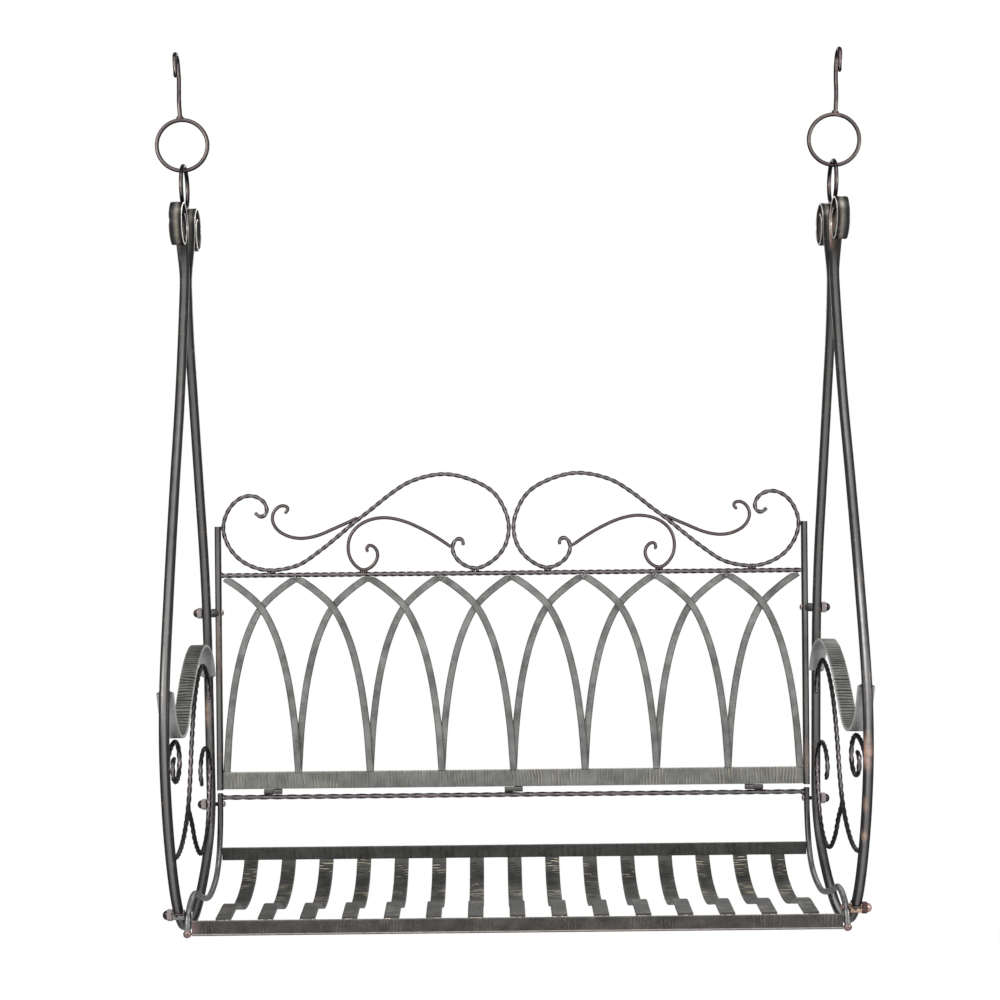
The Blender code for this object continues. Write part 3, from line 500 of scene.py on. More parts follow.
def leg_line(shares, way):
    """A leg's middle line, its curl first."""
    radius = CURL_RADIUS - CURL_THICKNESS / 2
    curl = []
    for step in range(CURL_STEPS + 1):
        angle = 2 * math.pi * CURL_TURNS * (1 - step / CURL_STEPS)
        arm = radius - CURL_PITCH * max(0.0, angle - math.pi / 2) / (2 * math.pi)
        out = way * (CURL_Y - arm * math.cos(angle))
        curl.append(Vector((0, out, CURL_Z + arm * math.sin(angle))))
    down = flowing([curl[-5], curl[-1], *[side_point(pair) for pair in shares]])[24:]
    return curl[:-1] + evenly(down, LEG_STEP)


def leg_section(width, thickness, offset):
    """Flat inside, domed outside, with softened corners."""
    points = [(-0.40, -0.5, 0.6), (0.0, -0.5, 0.0), (0.40, -0.5, 0.6)]
    points += [(0.48, -0.42, 1.0), (0.5, 0.02, 0.5)]
    for step in range(1, 12):
        angle = math.pi * step / 12
        points.append((0.5 * math.cos(angle), 0.02 + 0.43 * math.sin(angle), 0.15))
    points += [(-0.5, 0.02, 0.5), (-0.48, -0.42, 1.0)]
    return [(u * width + offset, v * thickness, edge) for u, v, edge in points]


def leg(name, line, way, offset):
    """A leg forged as far as the spacer: its curl is wide and thin, the bar below stout."""
    points = [point for point in line if (point - FOOT).length >= SPACER_RADIUS]
    curl_end = CURL_STEPS + 1
    start = sum((b - a).length for a, b in zip(points[:CURL_STEPS], points[1:curl_end]))

    def section(travel):
        share = min(1.0, max(0.0, travel - start) / LEG_FLARE)
        share = share * share * (3 - 2 * share)
        width = CURL_WIDTH + (LEG_WIDTH - CURL_WIDTH) * share
        thickness = CURL_THICKNESS + (LEG_THICKNESS - CURL_THICKNESS) * share
        rim = leg_section(width, thickness, offset * (1 - share))
        return [(u, -way * v, edge) for u, v, edge in rim]

    return forged(name, points, X_AXIS, section, dent=0.0002)


def painted_leg_light(color, place, marks, scuffs):
    """Painted highlights down the curls' middle and along their rims, and down the front legs'
    crown.

    The front leg on the right is brighter than the other, with a short streak of glare.
    """
    across = marks["across"]
    curl = 1 - marks["along"].between(0.22, 0.34)
    hand = place.part("X").sign()
    depth, down = 0 - place.part("Y"), 0 - place.part("Z")
    middle = (1 - abs(across * hand + 0.16)).between(0.50, 1.0)
    color = color.blend(CURL_HIGHLIGHT, curl * middle * (scuffs * 1.1 - 0.08))
    edge = abs(across).between(0.86, 0.98)
    color = color.blend(CURL_RIM_HIGHLIGHT, curl * edge * (scuffs * 0.9 + 0.4))
    # Painted highlight down the front legs' crown, strongest in a band part way down.
    front = depth.between(0.20, 0.30)
    bright = down.between(0.86, 1.06) * (1 - down.between(1.24, 1.40)) * front
    upper_highlight = down.between(0.50, 0.72) * (1 - curl) * 0.14
    share = middle * (upper_highlight + bright * (hand * 0.14 + 0.38))
    color = color.blend(CROWN_HIGHLIGHT, share * (scuffs * 0.7 + 0.65))
    streak = down.between(0.95, 1.03) * (1 - down.between(1.11, 1.20)) * front
    streak = streak * (hand * 0.5 + 0.5) * (1 - abs(across * hand + 0.26)).between(0.70, 1.0)
    return color.blend(CROWN_GLARE, streak * (scuffs * 0.6 + 0.35))


FOOT = side_point((-0.671, 1.0))
FRONT_LINE, REAR_LINE = leg_line(FRONT_LEG, -1), leg_line(REAR_LEG, 1)
for side_name, sign in SIDES:
    lean = hung(sign, FRAME_LEAN)
    patches = [
        (lean @ side_point(shares) - Vector((0.0025, 0.005, 0)), radius, strength)
        for shares, radius, strength in RUBBED[side_name]
    ]
    # The legs are painted paler down the middle of the dome and on faces that look to the front,
    # and darker at the sides, as painted light; the patches are copper rubs.
    leg_paint = bronze_paint(
        "leg_paint_" + side_name, (0.026, 0.025, 0.026), (0.120, 0.117, 0.111),
        (0.60, 0.37, 0.28), wear=0.10, shine=0.33, crown=0.45, front_light=0.25, light_range=(0.66, 1.0),
        patches=patches, extra=painted_leg_light,
    )
    ring = forged(
        "side_ring_" + side_name, circle(FRAME_RING_RADIUS, FRAME_RING_Z, Y_AXIS), X_AXIS,
        round_section(RING_WIRE), closed=True,
    )
    dressed(ring, WIRE_PAINT, "dark_wire", "frame_ring_" + side_name, place=lean)
    front = leg("leg_front_" + side_name, FRONT_LINE, -1, sign * CURL_OFFSET)
    dressed(front, leg_paint, "dark_bronze", "front_leg_" + side_name, place=lean)
    rear = leg("leg_rear_" + side_name, REAR_LINE, 1, -sign * CURL_OFFSET)
    dressed(rear, leg_paint, "dark_bronze", "rear_leg_" + side_name, place=lean)

# Armrests: a flat bar bent in an S, from the rear leg over a crown, down to a low point
# and up behind the front leg, where it is welded. Its upper face is cut across by dozens of
# slightly slanted strokes of a hammer's narrow edge; its sides and underside are plain.
ARM_WIDTH, ARM_THICKNESS, ARM_CUT_PITCH, ARM_CUT_DEPTH = 0.030, 0.005, 0.0075, 0.00075
ARM_STEP, ARM_BEAD = 0.0011, 0.0030
ARM = [
    (0.572, 0.712), (0.535, 0.684), (0.457, 0.6573), (0.314, 0.6413), (0.171, 0.638),
    (0.0, 0.6493), (-0.171, 0.6734), (-0.343, 0.7096), (-0.486, 0.7401), (-0.6, 0.749),
    (-0.729, 0.7433), (-0.843, 0.7216), (-0.905, 0.694), (-0.96, 0.66),
]


def side_line(shares, spacing):
    """A smooth line through places in a side frame's plane."""
    return evenly(flowing([side_point(pair) for pair in shares]), spacing)


def clear_of(points, line, room, within=0.035):
    """The points up to where, near their far end, they first come this close to the line."""
    travelled = 0.0
    cut = len(points)
    for index in range(len(points) - 1, 0, -1):
        travelled += (points[index] - points[index - 1]).length
        if travelled > within:
            break
        if min((points[index] - other).length for other in line) < room:
            cut = index
    return points[:cut]


def between_legs(line, room):
    """The line, cut clear of the rear leg at its start and of the front leg at its end."""
    return clear_of(clear_of(line, FRONT_LINE, room)[::-1], REAR_LINE, room)[::-1]


def flat_section(width, thickness, round_off=0.0009):
    """Section of a flat bar with eased edges: width sideways, thickness outwards."""
    u, v = width / 2, thickness / 2
    r = round_off
    lap = 0.3 * r
    corner = [(u - r, v, 0.8), (u - lap, v - lap, 1.0), (u, v - r, 0.8)]
    face = [(u * share, v, 0.0) for share in (-0.72, -0.36, 0.0, 0.36, 0.72)]
    upper = face + corner
    lower = [(-a, -b, c) for a, b, c in upper]
    right = [(u - r, -v, 0.8), (u - lap, -v + lap, 1.0), (u, -v + r, 0.8)][::-1]
    left = [(-a, -b, c) for a, b, c in right]
    return upper + right + lower + left


def cut_section(seed):
    """The armrest's section: its upper face has a shallow, slanted cut at about each pitch."""

    def section(travel):
        drift = ARM_CUT_PITCH * 0.45 * noise.noise(Vector((travel * 60, seed, 0)))
        slant = 0.26 * noise.noise(Vector((travel * 45, seed, 3)))
        strong = 0.5 + noise.noise(Vector((travel * 35, seed, 7)))
        rim = []
        for u, v, edge in flat_section(ARM_WIDTH, ARM_THICKNESS):
            if v > 0:
                phase = ((travel + drift + u * slant) / ARM_CUT_PITCH) % 1.0
                depth = max(0.0, 1 - abs(phase - 0.5) / 0.26)
                v -= ARM_CUT_DEPTH * depth * max(0.35, strong)
                # An edge share below 0 marks the cut, where the finish paints its shade.
                edge -= (1 + edge) * min(1.0, depth * max(0.5, strong + 0.35))
            rim.append((u, v, edge))
        return rim

    return section


def plain_below(color, place, marks, scuffs):
    """Under the armrest the colour is paler and greyish."""
    below = (0 - marks["over"]).between(0.7, 0.95)
    return color.blend((0.38, 0.385, 0.375), below * (scuffs * 0.5 + 0.45))


# The armrest's edges carry a strong painted highlight.
ARM_PAINT = bronze_paint(
    "arm_paint", (0.064, 0.063, 0.058), (0.205, 0.203, 0.190), (0.33, 0.24, 0.18),
    wear=0.08, metal=0.7, shine=0.44, rim=0.95, extra=plain_below,
)
arm_room = LEG_THICKNESS / 2 + ARM_THICKNESS / 2 + GAP
arm_line = between_legs(side_line(ARM, ARM_STEP), arm_room)
spots = [
    arm_line[end] + Vector((x, 0, 0)) for end in (0, -1) for x in (-0.009, -0.004, 0.004, 0.009)
]
for side_name, sign in SIDES:
    lean = hung(sign, FRAME_LEAN)
    arm = forged("arm_" + side_name, arm_line, X_AXIS, cut_section(sign))
    dressed(arm, ARM_PAINT, "hammered_iron", "armrest_" + side_name, place=lean)
    beads = weld_beads("arm_weld_" + side_name, spots, ARM_BEAD)
    dressed(beads, ARM_PAINT, "hammered_iron", place=lean)

# Side scrolls: square bar twisted cold along its whole length, then bent. The long one runs
# from the rear leg under the armrest to the front leg; the rear one leaves it and curls up
# along the rear leg; the front one curls back from the front leg under the armrest.
SCROLL_HALF_DIAGONAL, SCROLL_QUARTER_TURN, SCROLL_BEAD = 0.0046, 0.0182, 0.0046
TWIST_STEP = 0.0016
LONG_SCROLL = [
    (0.572, 0.745), (0.515, 0.697), (0.371, 0.672), (0.214, 0.679), (0.071, 0.704),
    (-0.035, 0.738), (-0.125, 0.782), (-0.206, 0.832), (-0.286, 0.866), (-0.4, 0.892),
    (-0.543, 0.911), (-0.7, 0.917), (-0.83, 0.909), (-0.93, 0.893),
]
REAR_SCROLL = [
    (-0.286, 0.866), (-0.171, 0.894), (-0.071, 0.925), (0.103, 0.952), (0.286, 0.946),
    (0.414, 0.919), (0.497, 0.872), (0.53, 0.837), (0.468, 0.81), (0.343, 0.8),
    (0.223, 0.812), (0.177, 0.833), (0.22, 0.853),
]
FRONT_SCROLL = [
    (-0.99, 0.802), (-0.886, 0.77), (-0.771, 0.7575), (-0.657, 0.7556), (-0.571, 0.766),
    (-0.534, 0.786), (-0.571, 0.8045), (-0.663, 0.812), (-0.743, 0.802), (-0.749, 0.7835),
    (-0.695, 0.777),
]


def square_section(half_diagonal):
    """Square bar with slightly crushed corners, as twisting leaves it."""
    points = []
    for corner in range(4):
        for swing, reach, edge in (
            (-0.36, 0.85, 0.35), (-0.16, 0.945, 0.8), (0.0, 0.985, 1.0), (0.16, 0.945, 0.8),
            (0.36, 0.85, 0.35), (0.785, 0.76, 0.0),
        ):
            a = math.pi / 2 * corner + swing
            out = half_diagonal * reach
            points.append((out * math.cos(a), out * math.sin(a), edge))
    return points


# The twisted scrolls are painted paler on their arrises and where their faces turn to the front,
# and darker between, as painted light.
SIDE_TWIST_PAINT = bronze_paint(
    "side_twist_paint", (0.021, 0.0185, 0.0195), (0.168, 0.150, 0.156), (0.40, 0.28, 0.26),
    wear=0.12, shine=0.38, ridge=0.20, front_light=0.50,
)
room = LEG_THICKNESS / 2 + GAP
long_scroll = between_legs(side_line(LONG_SCROLL, TWIST_STEP), room)
rear_scroll = side_line(REAR_SCROLL, TWIST_STEP)[::-1]
rear_scroll = clear_of(rear_scroll, long_scroll, SCROLL_HALF_DIAGONAL)[::-1]
front_scroll = clear_of(side_line(FRONT_SCROLL, TWIST_STEP)[::-1], FRONT_LINE, room)[::-1]
ends = [long_scroll[0], long_scroll[-1], rear_scroll[0], front_scroll[0]]
for side_name, sign in SIDES:
    lean = hung(sign, FRAME_LEAN)
    for kind, line in (("long", long_scroll), ("rear", rear_scroll), ("front", front_scroll)):
        scroll = forged(
            f"twisted_{kind}_{side_name}", line, X_AXIS, square_section(SCROLL_HALF_DIAGONAL),
            twist=SCROLL_QUARTER_TURN, taper=0.008,
        )
        node = f"{kind}_scroll_{side_name}"
        dressed(scroll, SIDE_TWIST_PAINT, "twisted_iron", node, place=lean)
    beads = weld_beads("scroll_weld_" + side_name, ends, SCROLL_BEAD)
    dressed(beads, SIDE_TWIST_PAINT, "twisted_iron", place=lean)

# Bolts: three on each side hold the back panel and the seat to the side frame. Each has a
# small round head inside and a domed cap nut outside; the front one passes through the
# spacer tube on the leg's foot. Their plating shows pink and copper through the paint.
BOLT_RADIUS, BOLT_HEAD_RADIUS, BOLT_HEAD_HEIGHT = 0.0038, 0.006, 0.004
NUT_RADIUS, NUT_HEIGHT, NUT_DOME_RADIUS = 0.0109, 0.009, 0.0086
POST_SIDE, SIDE_BAR_RADIUS = 0.012, 0.0058
FOOT_BEAD, FOOT_BEAD_RING = 0.0028, 0.0105
UPPER_BOLT, LOWER_BOLT = side_point((0.557, 0.592)), side_point((0.557, 0.896))


def frame_x(height):
    """How far out a side frame's middle is, at a height below the pivot."""
    return PIVOT_X + math.tan(FRAME_LEAN) * height


SIDE_BAR_X = frame_x(FOOT.z) - SPACER_LENGTH / 2 - SIDE_BAR_RADIUS - 1.5 * GAP
POST_INNER_X = SIDE_BAR_X - POST_SIDE / 2


def turned(name, profile, sides, flat=None):
    """A turned piece about X, from a profile of (x, radius, how far it is an edge).

    What lies before flat has six flat sides, as a nut has.
    """
    work = bmesh.new()
    arris = work.verts.layers.float.new("arris")
    rings = []
    for x, radius, edge in profile:
        ring = []
        for step in range(sides):
            a = 2 * math.pi * step / sides
            reach = radius
            if flat and x < flat:
                from_flat = (a + math.pi / 6) % (math.pi / 3) - math.pi / 6
                reach = radius * math.cos(math.pi / 6) / math.cos(from_flat)
            vertex = work.verts.new((x, reach * math.cos(a), reach * math.sin(a)))
            vertex[arris] = edge
            ring.append(vertex)
        rings.append(ring)
    join(work, rings)
    work.faces.new(rings[0])
    work.faces.new(rings[-1])
    return finished(name, work, angle=30)


def tube_profile(half, radius, bore, bevel=0.0006):
    """Profile of a short tube with broken edges, from -half to half."""
    end = [(half - bevel, radius, 1.0), (half, radius - bevel, 0.9), (half, bore, 0.3)]
    return [(-x, r, edge) for x, r, edge in end[::-1]] + end


NUT_PAINT = bronze_paint(
    "nut_paint", (0.032, 0.024, 0.027), (0.310, 0.268, 0.274), (0.42, 0.24, 0.21),
    wear=0.35, metal=0.9, shine=0.26, ridge=0.6,
)
STEEL_PAINT = bronze_paint(
    "spacer_paint", (0.12, 0.12, 0.12), (0.33, 0.33, 0.33), (0.52, 0.33, 0.27),
    wear=0.2, metal=0.95, shine=0.30,
)
COPPER_PAINT = bronze_paint(
    "spacer_copper_paint", (0.22, 0.135, 0.10), (0.56, 0.41, 0.31), (0.62, 0.42, 0.33),
    wear=0.6, metal=0.95, shine=0.30,
)


def dark_hexagon(color, place, marks, scuffs):
    """Only the dome of this cap nut is rubbed bright; its hexagon is still dark."""
    return color.blend((0.055, 0.035, 0.038), marks["arris"].between(0.25, 0.75) * 0.85)


DOME_PAINT = bronze_paint(
    "rubbed_nut_paint", (0.20, 0.115, 0.10), (0.60, 0.40, 0.34), (0.66, 0.45, 0.40),
    wear=0.5, metal=0.95, shine=0.28, extra=dark_hexagon,
)
spots = []
for step in range(9):
    a = math.radians(20 + 20 * step)
    y, z = FOOT_BEAD_RING * math.cos(a), FOOT_BEAD_RING * math.sin(a)
    spots.append(FOOT + Vector((0.006 * math.sin(step * 2.3), y, z)))
spots += [FOOT + Vector((0.0029 * (step - 2.5), -0.0098, 0.0030)) for step in range(6)]
for side_name, sign in SIDES:
    lean = hung(sign, FRAME_LEAN)
    for bolt_name, at in (("upper", UPPER_BOLT), ("lower", LOWER_BOLT), ("front", FOOT)):
        held = POST_INNER_X if bolt_name == "upper" else SIDE_BAR_X - SIDE_BAR_RADIUS
        inner = held - frame_x(at.z) - GAP
        outer = (SPACER_LENGTH if bolt_name == "front" else LEG_WIDTH) / 2 + GAP
        rim = outer + NUT_HEIGHT
        shank_profile = [
            (inner - BOLT_HEAD_HEIGHT, 0.001, 0.2),
            (inner - BOLT_HEAD_HEIGHT * 0.9, BOLT_HEAD_RADIUS * 0.6, 0.4),
            (inner - BOLT_HEAD_HEIGHT * 0.45, BOLT_HEAD_RADIUS * 0.95, 0.6),
            (inner, BOLT_HEAD_RADIUS, 1.0), (inner, BOLT_RADIUS, 0.2), (outer, BOLT_RADIUS, 0.2),
        ]
        nut_profile = [
            (outer, NUT_RADIUS * 0.90, 0.6), (outer + 0.0008, NUT_RADIUS * 0.985, 1.0),
            (rim - 0.0012, NUT_RADIUS * 0.985, 1.0), (rim, NUT_RADIUS * 0.86, 0.9),
        ]
        for step in range(9):
            a = math.pi / 2 * step / 8
            high, wide = NUT_DOME_RADIUS * math.sin(a), NUT_DOME_RADIUS * math.cos(a)
            nut_profile.append((rim - 0.0001 + high, max(0.0006, wide), 0.12))
        shank = turned(f"bolt_{bolt_name}_{side_name}", shank_profile, 24)
        nut = turned(f"cap_nut_{bolt_name}_{side_name}", nut_profile, 36, rim - 0.0005)
        seat = lean @ Matrix.Translation(at) @ Matrix.Scale(sign, 4, X_AXIS)
        finish = DOME_PAINT if bolt_name == "front" and sign > 0 else NUT_PAINT
        for piece in (shank, nut):
            dressed(piece, finish, "rubbed_copper", f"{bolt_name}_bolt_{side_name}", place=seat)
    profile = tube_profile(SPACER_LENGTH / 2, SPACER_RADIUS, BOLT_RADIUS + GAP)
    spacer = turned("spacer_" + side_name, profile, 32)
    finish = STEEL_PAINT if sign < 0 else COPPER_PAINT
    seat = lean @ Matrix.Translation(FOOT)
    dressed(spacer, finish, "rubbed_copper", "front_leg_" + side_name, place=seat)
    beads = weld_beads("foot_weld_" + side_name, spots, FOOT_BEAD)
    dressed(beads, WIRE_PAINT, "rubbed_copper", place=lean)

# Back panel: two square posts, a twisted top rail and a flat bottom rail. Pointed arches of
# flat bar cross each other between the rails in two layers: from each apex one bar runs to
# the left and one to the right, and a short stub welds the pair under the top rail.
POST_LIFT, POST_HORN, BOSS_RADIUS = 0.015, 0.097, 0.0085
TOP_RAIL_RISE, RAIL_HALF_DIAGONAL, RAIL_QUARTER_TURN = 0.0739, 0.0050, 0.0170
ROD_RISE, BOTTOM_RAIL_RISE = 0.013, 0.0332
BOTTOM_RAIL_HEIGHT, BOTTOM_RAIL_THICKNESS = 0.034, 0.005
BAYS, ARCH_WIDTH, ARCH_THICKNESS, ARCH_STUB, ARCH_STEP = 8, 0.014, 0.004, 0.010, 0.006
APEX_BEAD, ARCH_FOOT_BEAD, TOP_RAIL_BEAD = 0.0034, 0.0024, 0.0052
TWISTED_STEPS, FLAT_STEPS = 760, 300
ARCH = [
    (0.0, 0.0), (0.24, 0.062), (0.5, 0.154), (0.7, 0.3), (0.85, 0.5), (0.95, 0.75), (1.0, 1.0),
]
BACK_Y = UPPER_BOLT.y
ROD_Z = PIVOT_Z + LOWER_BOLT.z + ROD_RISE
BOTTOM_RAIL_Z = ROD_Z + BOTTOM_RAIL_RISE
TOP_RAIL_Z = PIVOT_Z + UPPER_BOLT.z + TOP_RAIL_RISE
POST_BOTTOM_Z, POST_TOP_Z = ROD_Z + POST_LIFT, TOP_RAIL_Z + POST_HORN
BAY_WIDTH = 2 * (POST_INNER_X - GAP - ARCH_WIDTH / 2) / BAYS
PANEL_TOP = TOP_RAIL_Z - RAIL_HALF_DIAGONAL - GAP
PANEL_FOOT = BOTTOM_RAIL_Z + BOTTOM_RAIL_HEIGHT / 2 + GAP

# The twisted rails are painted paler where their faces turn to the front and darker where they turn
# away, with a little painted highlight on the arrises.
TWIST_PAINT = bronze_paint(
    "twist_paint", (0.009, 0.0075, 0.008), (0.158, 0.138, 0.145), (0.40, 0.28, 0.26),
    wear=0.12, shine=0.38, ridge=0.08, front_light=0.72,
)
# The posts are painted paler down the middle of each face and towards the front, and darker at the
# sides, as painted light; the patches are copper rubs.
POST_PAINT = bronze_paint(
    "post_paint", (0.018, 0.0175, 0.017), (0.178, 0.172, 0.164), (0.50, 0.34, 0.28),
    wear=0.10, shine=0.36, crown=0.55, front_light=0.15,
    patches=[
        ((-SIDE_BAR_X, BACK_Y - 0.006, -1.135), 0.022, 0.32),
        ((SIDE_BAR_X, BACK_Y - 0.006, -1.36), 0.012, 0.4),
    ],
)
# The hinge barrels and tabs get a painted highlight on their edges.
BARREL_PAINT = bronze_paint(
    "barrel_paint", (0.022, 0.021, 0.020), (0.118, 0.114, 0.110), (0.36, 0.24, 0.20),
    wear=0.10, shine=0.36, ridge=0.3,
)
# The arch bars get painted shade along their edges.
ARCH_PAINT = bronze_paint(
    "arch_paint", (0.098, 0.097, 0.092), (0.310, 0.307, 0.296), (0.34, 0.26, 0.21),
    wear=0.12, metal=0.7, shine=0.46, edge_shade=0.26,
)
# The bottom rail gets a painted highlight along its edges and painted shade in its hammer cuts.
RAIL_PAINT = bronze_paint(
    "rail_paint", (0.130, 0.129, 0.119), (0.285, 0.283, 0.266), (0.36, 0.28, 0.22),
    wear=0.12, metal=0.7, shine=0.48, rim=0.3, strokes=0.45, gold=0.6, pitch=0.006,
)


def straight(start, end, steps):
    """A straight line from start to end, with a point at every step."""
    return [Vector(start).lerp(Vector(end), step / steps) for step in range(steps + 1)]


def on_edge(section):
    """A flat section stood on its edge, for a bar whose wide faces look front and back."""
    return [(v, u, edge) for u, v, edge in section][::-1]


def arch_bar(name, apex_x, way, layer):
    """One flat bar from an apex to its foot one bay away, cut off level at both rails."""
    y = BACK_Y + layer * (ARCH_THICKNESS + GAP) / 2
    fall = PANEL_FOOT - PANEL_TOP
    knots = [(apex_x + way * share * BAY_WIDTH, 0, PANEL_TOP + drop * fall) for share, drop in ARCH]
    line = [point + Vector((0, y, 0)) for point in evenly(flowing(knots), ARCH_STEP)]
    section = on_edge(flat_section(ARCH_WIDTH, ARCH_THICKNESS, 0.0007))
    piece = forged(name, line, Y_AXIS, section, dent=0.00015)
    for vertex in piece.data.vertices:
        vertex.co.z = max(PANEL_FOOT, min(PANEL_TOP, vertex.co.z))
    return piece


apex_welds, foot_welds = [], []
for index in range(BAYS + 1):
    apex_x = (index - BAYS / 2) * BAY_WIDTH
    node = {0: "post_left", BAYS: "post_right"}.get(index, f"arch_{index}")
    for hand, way, layer in (("right", 1, -1), ("left", -1, 1)):
        if 0 <= index + way <= BAYS:
            bar = arch_bar(f"arch_{index}_to_{hand}", apex_x, way, layer)
            dressed(bar, ARCH_PAINT, "satin_iron", node)
            foot_x, foot_y = apex_x + way * BAY_WIDTH, BACK_Y + layer * 0.003
            foot_welds += [(foot_x + x, foot_y, PANEL_FOOT) for x in (-0.005, 0.0, 0.005)]
    if 0 < index < BAYS:
        line = straight((apex_x, BACK_Y, PANEL_TOP), (apex_x, BACK_Y, PANEL_TOP - ARCH_STUB), 4)
        section = flat_section(ARCH_WIDTH * 0.72, 2 * ARCH_THICKNESS + GAP)
        stub = forged(f"arch_stub_{index}", line, X_AXIS, section, dent=0.0004)
        dressed(stub, ARCH_PAINT, "satin_iron", node)
        for x, z in ((-0.003, 0.0), (0.003, 0.001), (0.0, 0.004)):
            apex_welds.append((apex_x + x, BACK_Y - 0.0035, PANEL_TOP - z))
dressed(weld_beads("apex_welds", apex_welds, APEX_BEAD), ARCH_PAINT, "satin_iron")
dressed(weld_beads("arch_foot_welds", foot_welds, ARCH_FOOT_BEAD), ARCH_PAINT, "satin_iron")

reach = POST_INNER_X - GAP
line = straight((-reach, BACK_Y, TOP_RAIL_Z), (reach, BACK_Y, TOP_RAIL_Z), TWISTED_STEPS)
twisted_bar = square_section(RAIL_HALF_DIAGONAL)
top_rail = forged("twisted_top_rail", line, Y_AXIS, twisted_bar, twist=RAIL_QUARTER_TURN)
dressed(top_rail, TWIST_PAINT, "twisted_iron", "top_rail")
ends = [(sign * reach, BACK_Y, TOP_RAIL_Z) for _, sign in SIDES]
dressed(weld_beads("top_rail_welds", ends, TOP_RAIL_BEAD), TWIST_PAINT, "twisted_iron")
line = straight((-reach, BACK_Y, BOTTOM_RAIL_Z), (reach, BACK_Y, BOTTOM_RAIL_Z), FLAT_STEPS)
section = on_edge(flat_section(BOTTOM_RAIL_HEIGHT, BOTTOM_RAIL_THICKNESS))
bottom_rail = forged("hammered_bottom_rail", line, Y_AXIS, section, dent=0.0003)
dressed(bottom_rail, RAIL_PAINT, "hammered_iron", "bottom_rail")

span = frame_x(UPPER_BOLT.z) - LEG_WIDTH / 2 - GAP - SIDE_BAR_X
boss_profile = [
    (0.0, BOLT_RADIUS + GAP, 0.2), (0.0, BOSS_RADIUS, 0.2), (span - 0.0007, BOSS_RADIUS, 0.9),
    (span, BOSS_RADIUS - 0.0007, 0.9), (span, BOLT_RADIUS + GAP, 0.3),
]
for side_name, sign in SIDES:
    x = sign * SIDE_BAR_X
    line = straight((x, BACK_Y, POST_BOTTOM_Z), (x, BACK_Y, POST_TOP_Z), 90)
    section = flat_section(POST_SIDE, POST_SIDE, 0.0014)
    post = forged("square_post_" + side_name, line, X_AXIS, section, dent=0.0002)
    dressed(post, POST_PAINT, "dark_bronze", "post_" + side_name)
    at = Matrix.Translation((x, BACK_Y, PIVOT_Z + UPPER_BOLT.z)) @ Matrix.Scale(sign, 4, X_AXIS)
    boss = turned("post_boss_" + side_name, boss_profile, 28)
    dressed(boss, BARREL_PAINT, "dark_bronze", "post_" + side_name, place=at)

# Crest: on each side one long twisted scroll, welded on the top rail and the post, and two
# small plain scrolls welded on it. The outer one curls towards the long scroll's end, and
# the inner one rises from the middle curl and comes down to the rail.
CREST_RISE, CREST_HALF_DIAGONAL, CREST_QUARTER_TURN = 0.1874, 0.0042, 0.0172
SMALL_SCROLL_RADIUS, CREST_BEAD = 0.0034, 0.0036
MAIN_CREST = [
    (0.888, 0.61), (0.869, 0.558), (0.847, 0.6), (0.851, 0.7), (0.876, 0.77),
    (0.915, 0.79), (0.957, 0.73), (0.988, 0.6), (1.0, 0.44), (0.982, 0.26),
    (0.94, 0.11), (0.88, 0.02), (0.826, 0.0), (0.737, 0.054), (0.665, 0.195),
    (0.593, 0.367), (0.542, 0.496), (0.485, 0.626), (0.412, 0.799), (0.34, 0.929),
    (0.225, 1.0), (0.124, 0.929), (0.052, 0.799), (0.012, 0.6), (0.0, 0.42),
    (0.016, 0.226), (0.059, 0.076), (0.117, 0.0), (0.167, 0.054), (0.196, 0.162),
    (0.196, 0.27), (0.178, 0.324), (0.158, 0.292), (0.162, 0.245),
]
OUTER_CREST = [
    (0.784, 0.6), (0.768, 0.655), (0.792, 0.688), (0.818, 0.64), (0.829, 0.55),
    (0.815, 0.442), (0.78, 0.367), (0.73, 0.334), (0.672, 0.361), (0.607, 0.442),
    (0.546, 0.523), (0.5, 0.6),
]
INNER_CREST = [
    (0.18, 0.18), (0.254, 0.334), (0.304, 0.421), (0.369, 0.508),
    (0.434, 0.546), (0.492, 0.519), (0.535, 0.442), (0.558, 0.34), (0.564, 0.226),
    (0.557, 0.12), (0.535, 0.03), (0.513, -0.009), (0.48, 0.03), (0.46, 0.13),
    (0.463, 0.205), (0.488, 0.266), (0.502, 0.226), (0.495, 0.184),
]


def crest_line(shares, sign):
    """A crest scroll's middle line on one side, eased so that no knot shows as a corner."""
    inner = CREST_HALF_DIAGONAL + GAP / 2
    wide = POST_INNER_X - GAP - CREST_HALF_DIAGONAL - inner
    base = TOP_RAIL_Z + RAIL_HALF_DIAGONAL + GAP + CREST_HALF_DIAGONAL
    knots = [(sign * (inner + out * wide), BACK_Y, base + up * CREST_RISE) for out, up in shares]
    line = evenly(flowing(knots), TWIST_STEP)
    for _ in range(30):
        eased = [(a + 2 * b + c) / 4 for a, b, c in zip(line, line[1:], line[2:])]
        line = [line[0], *eased, line[-1]]
    return line


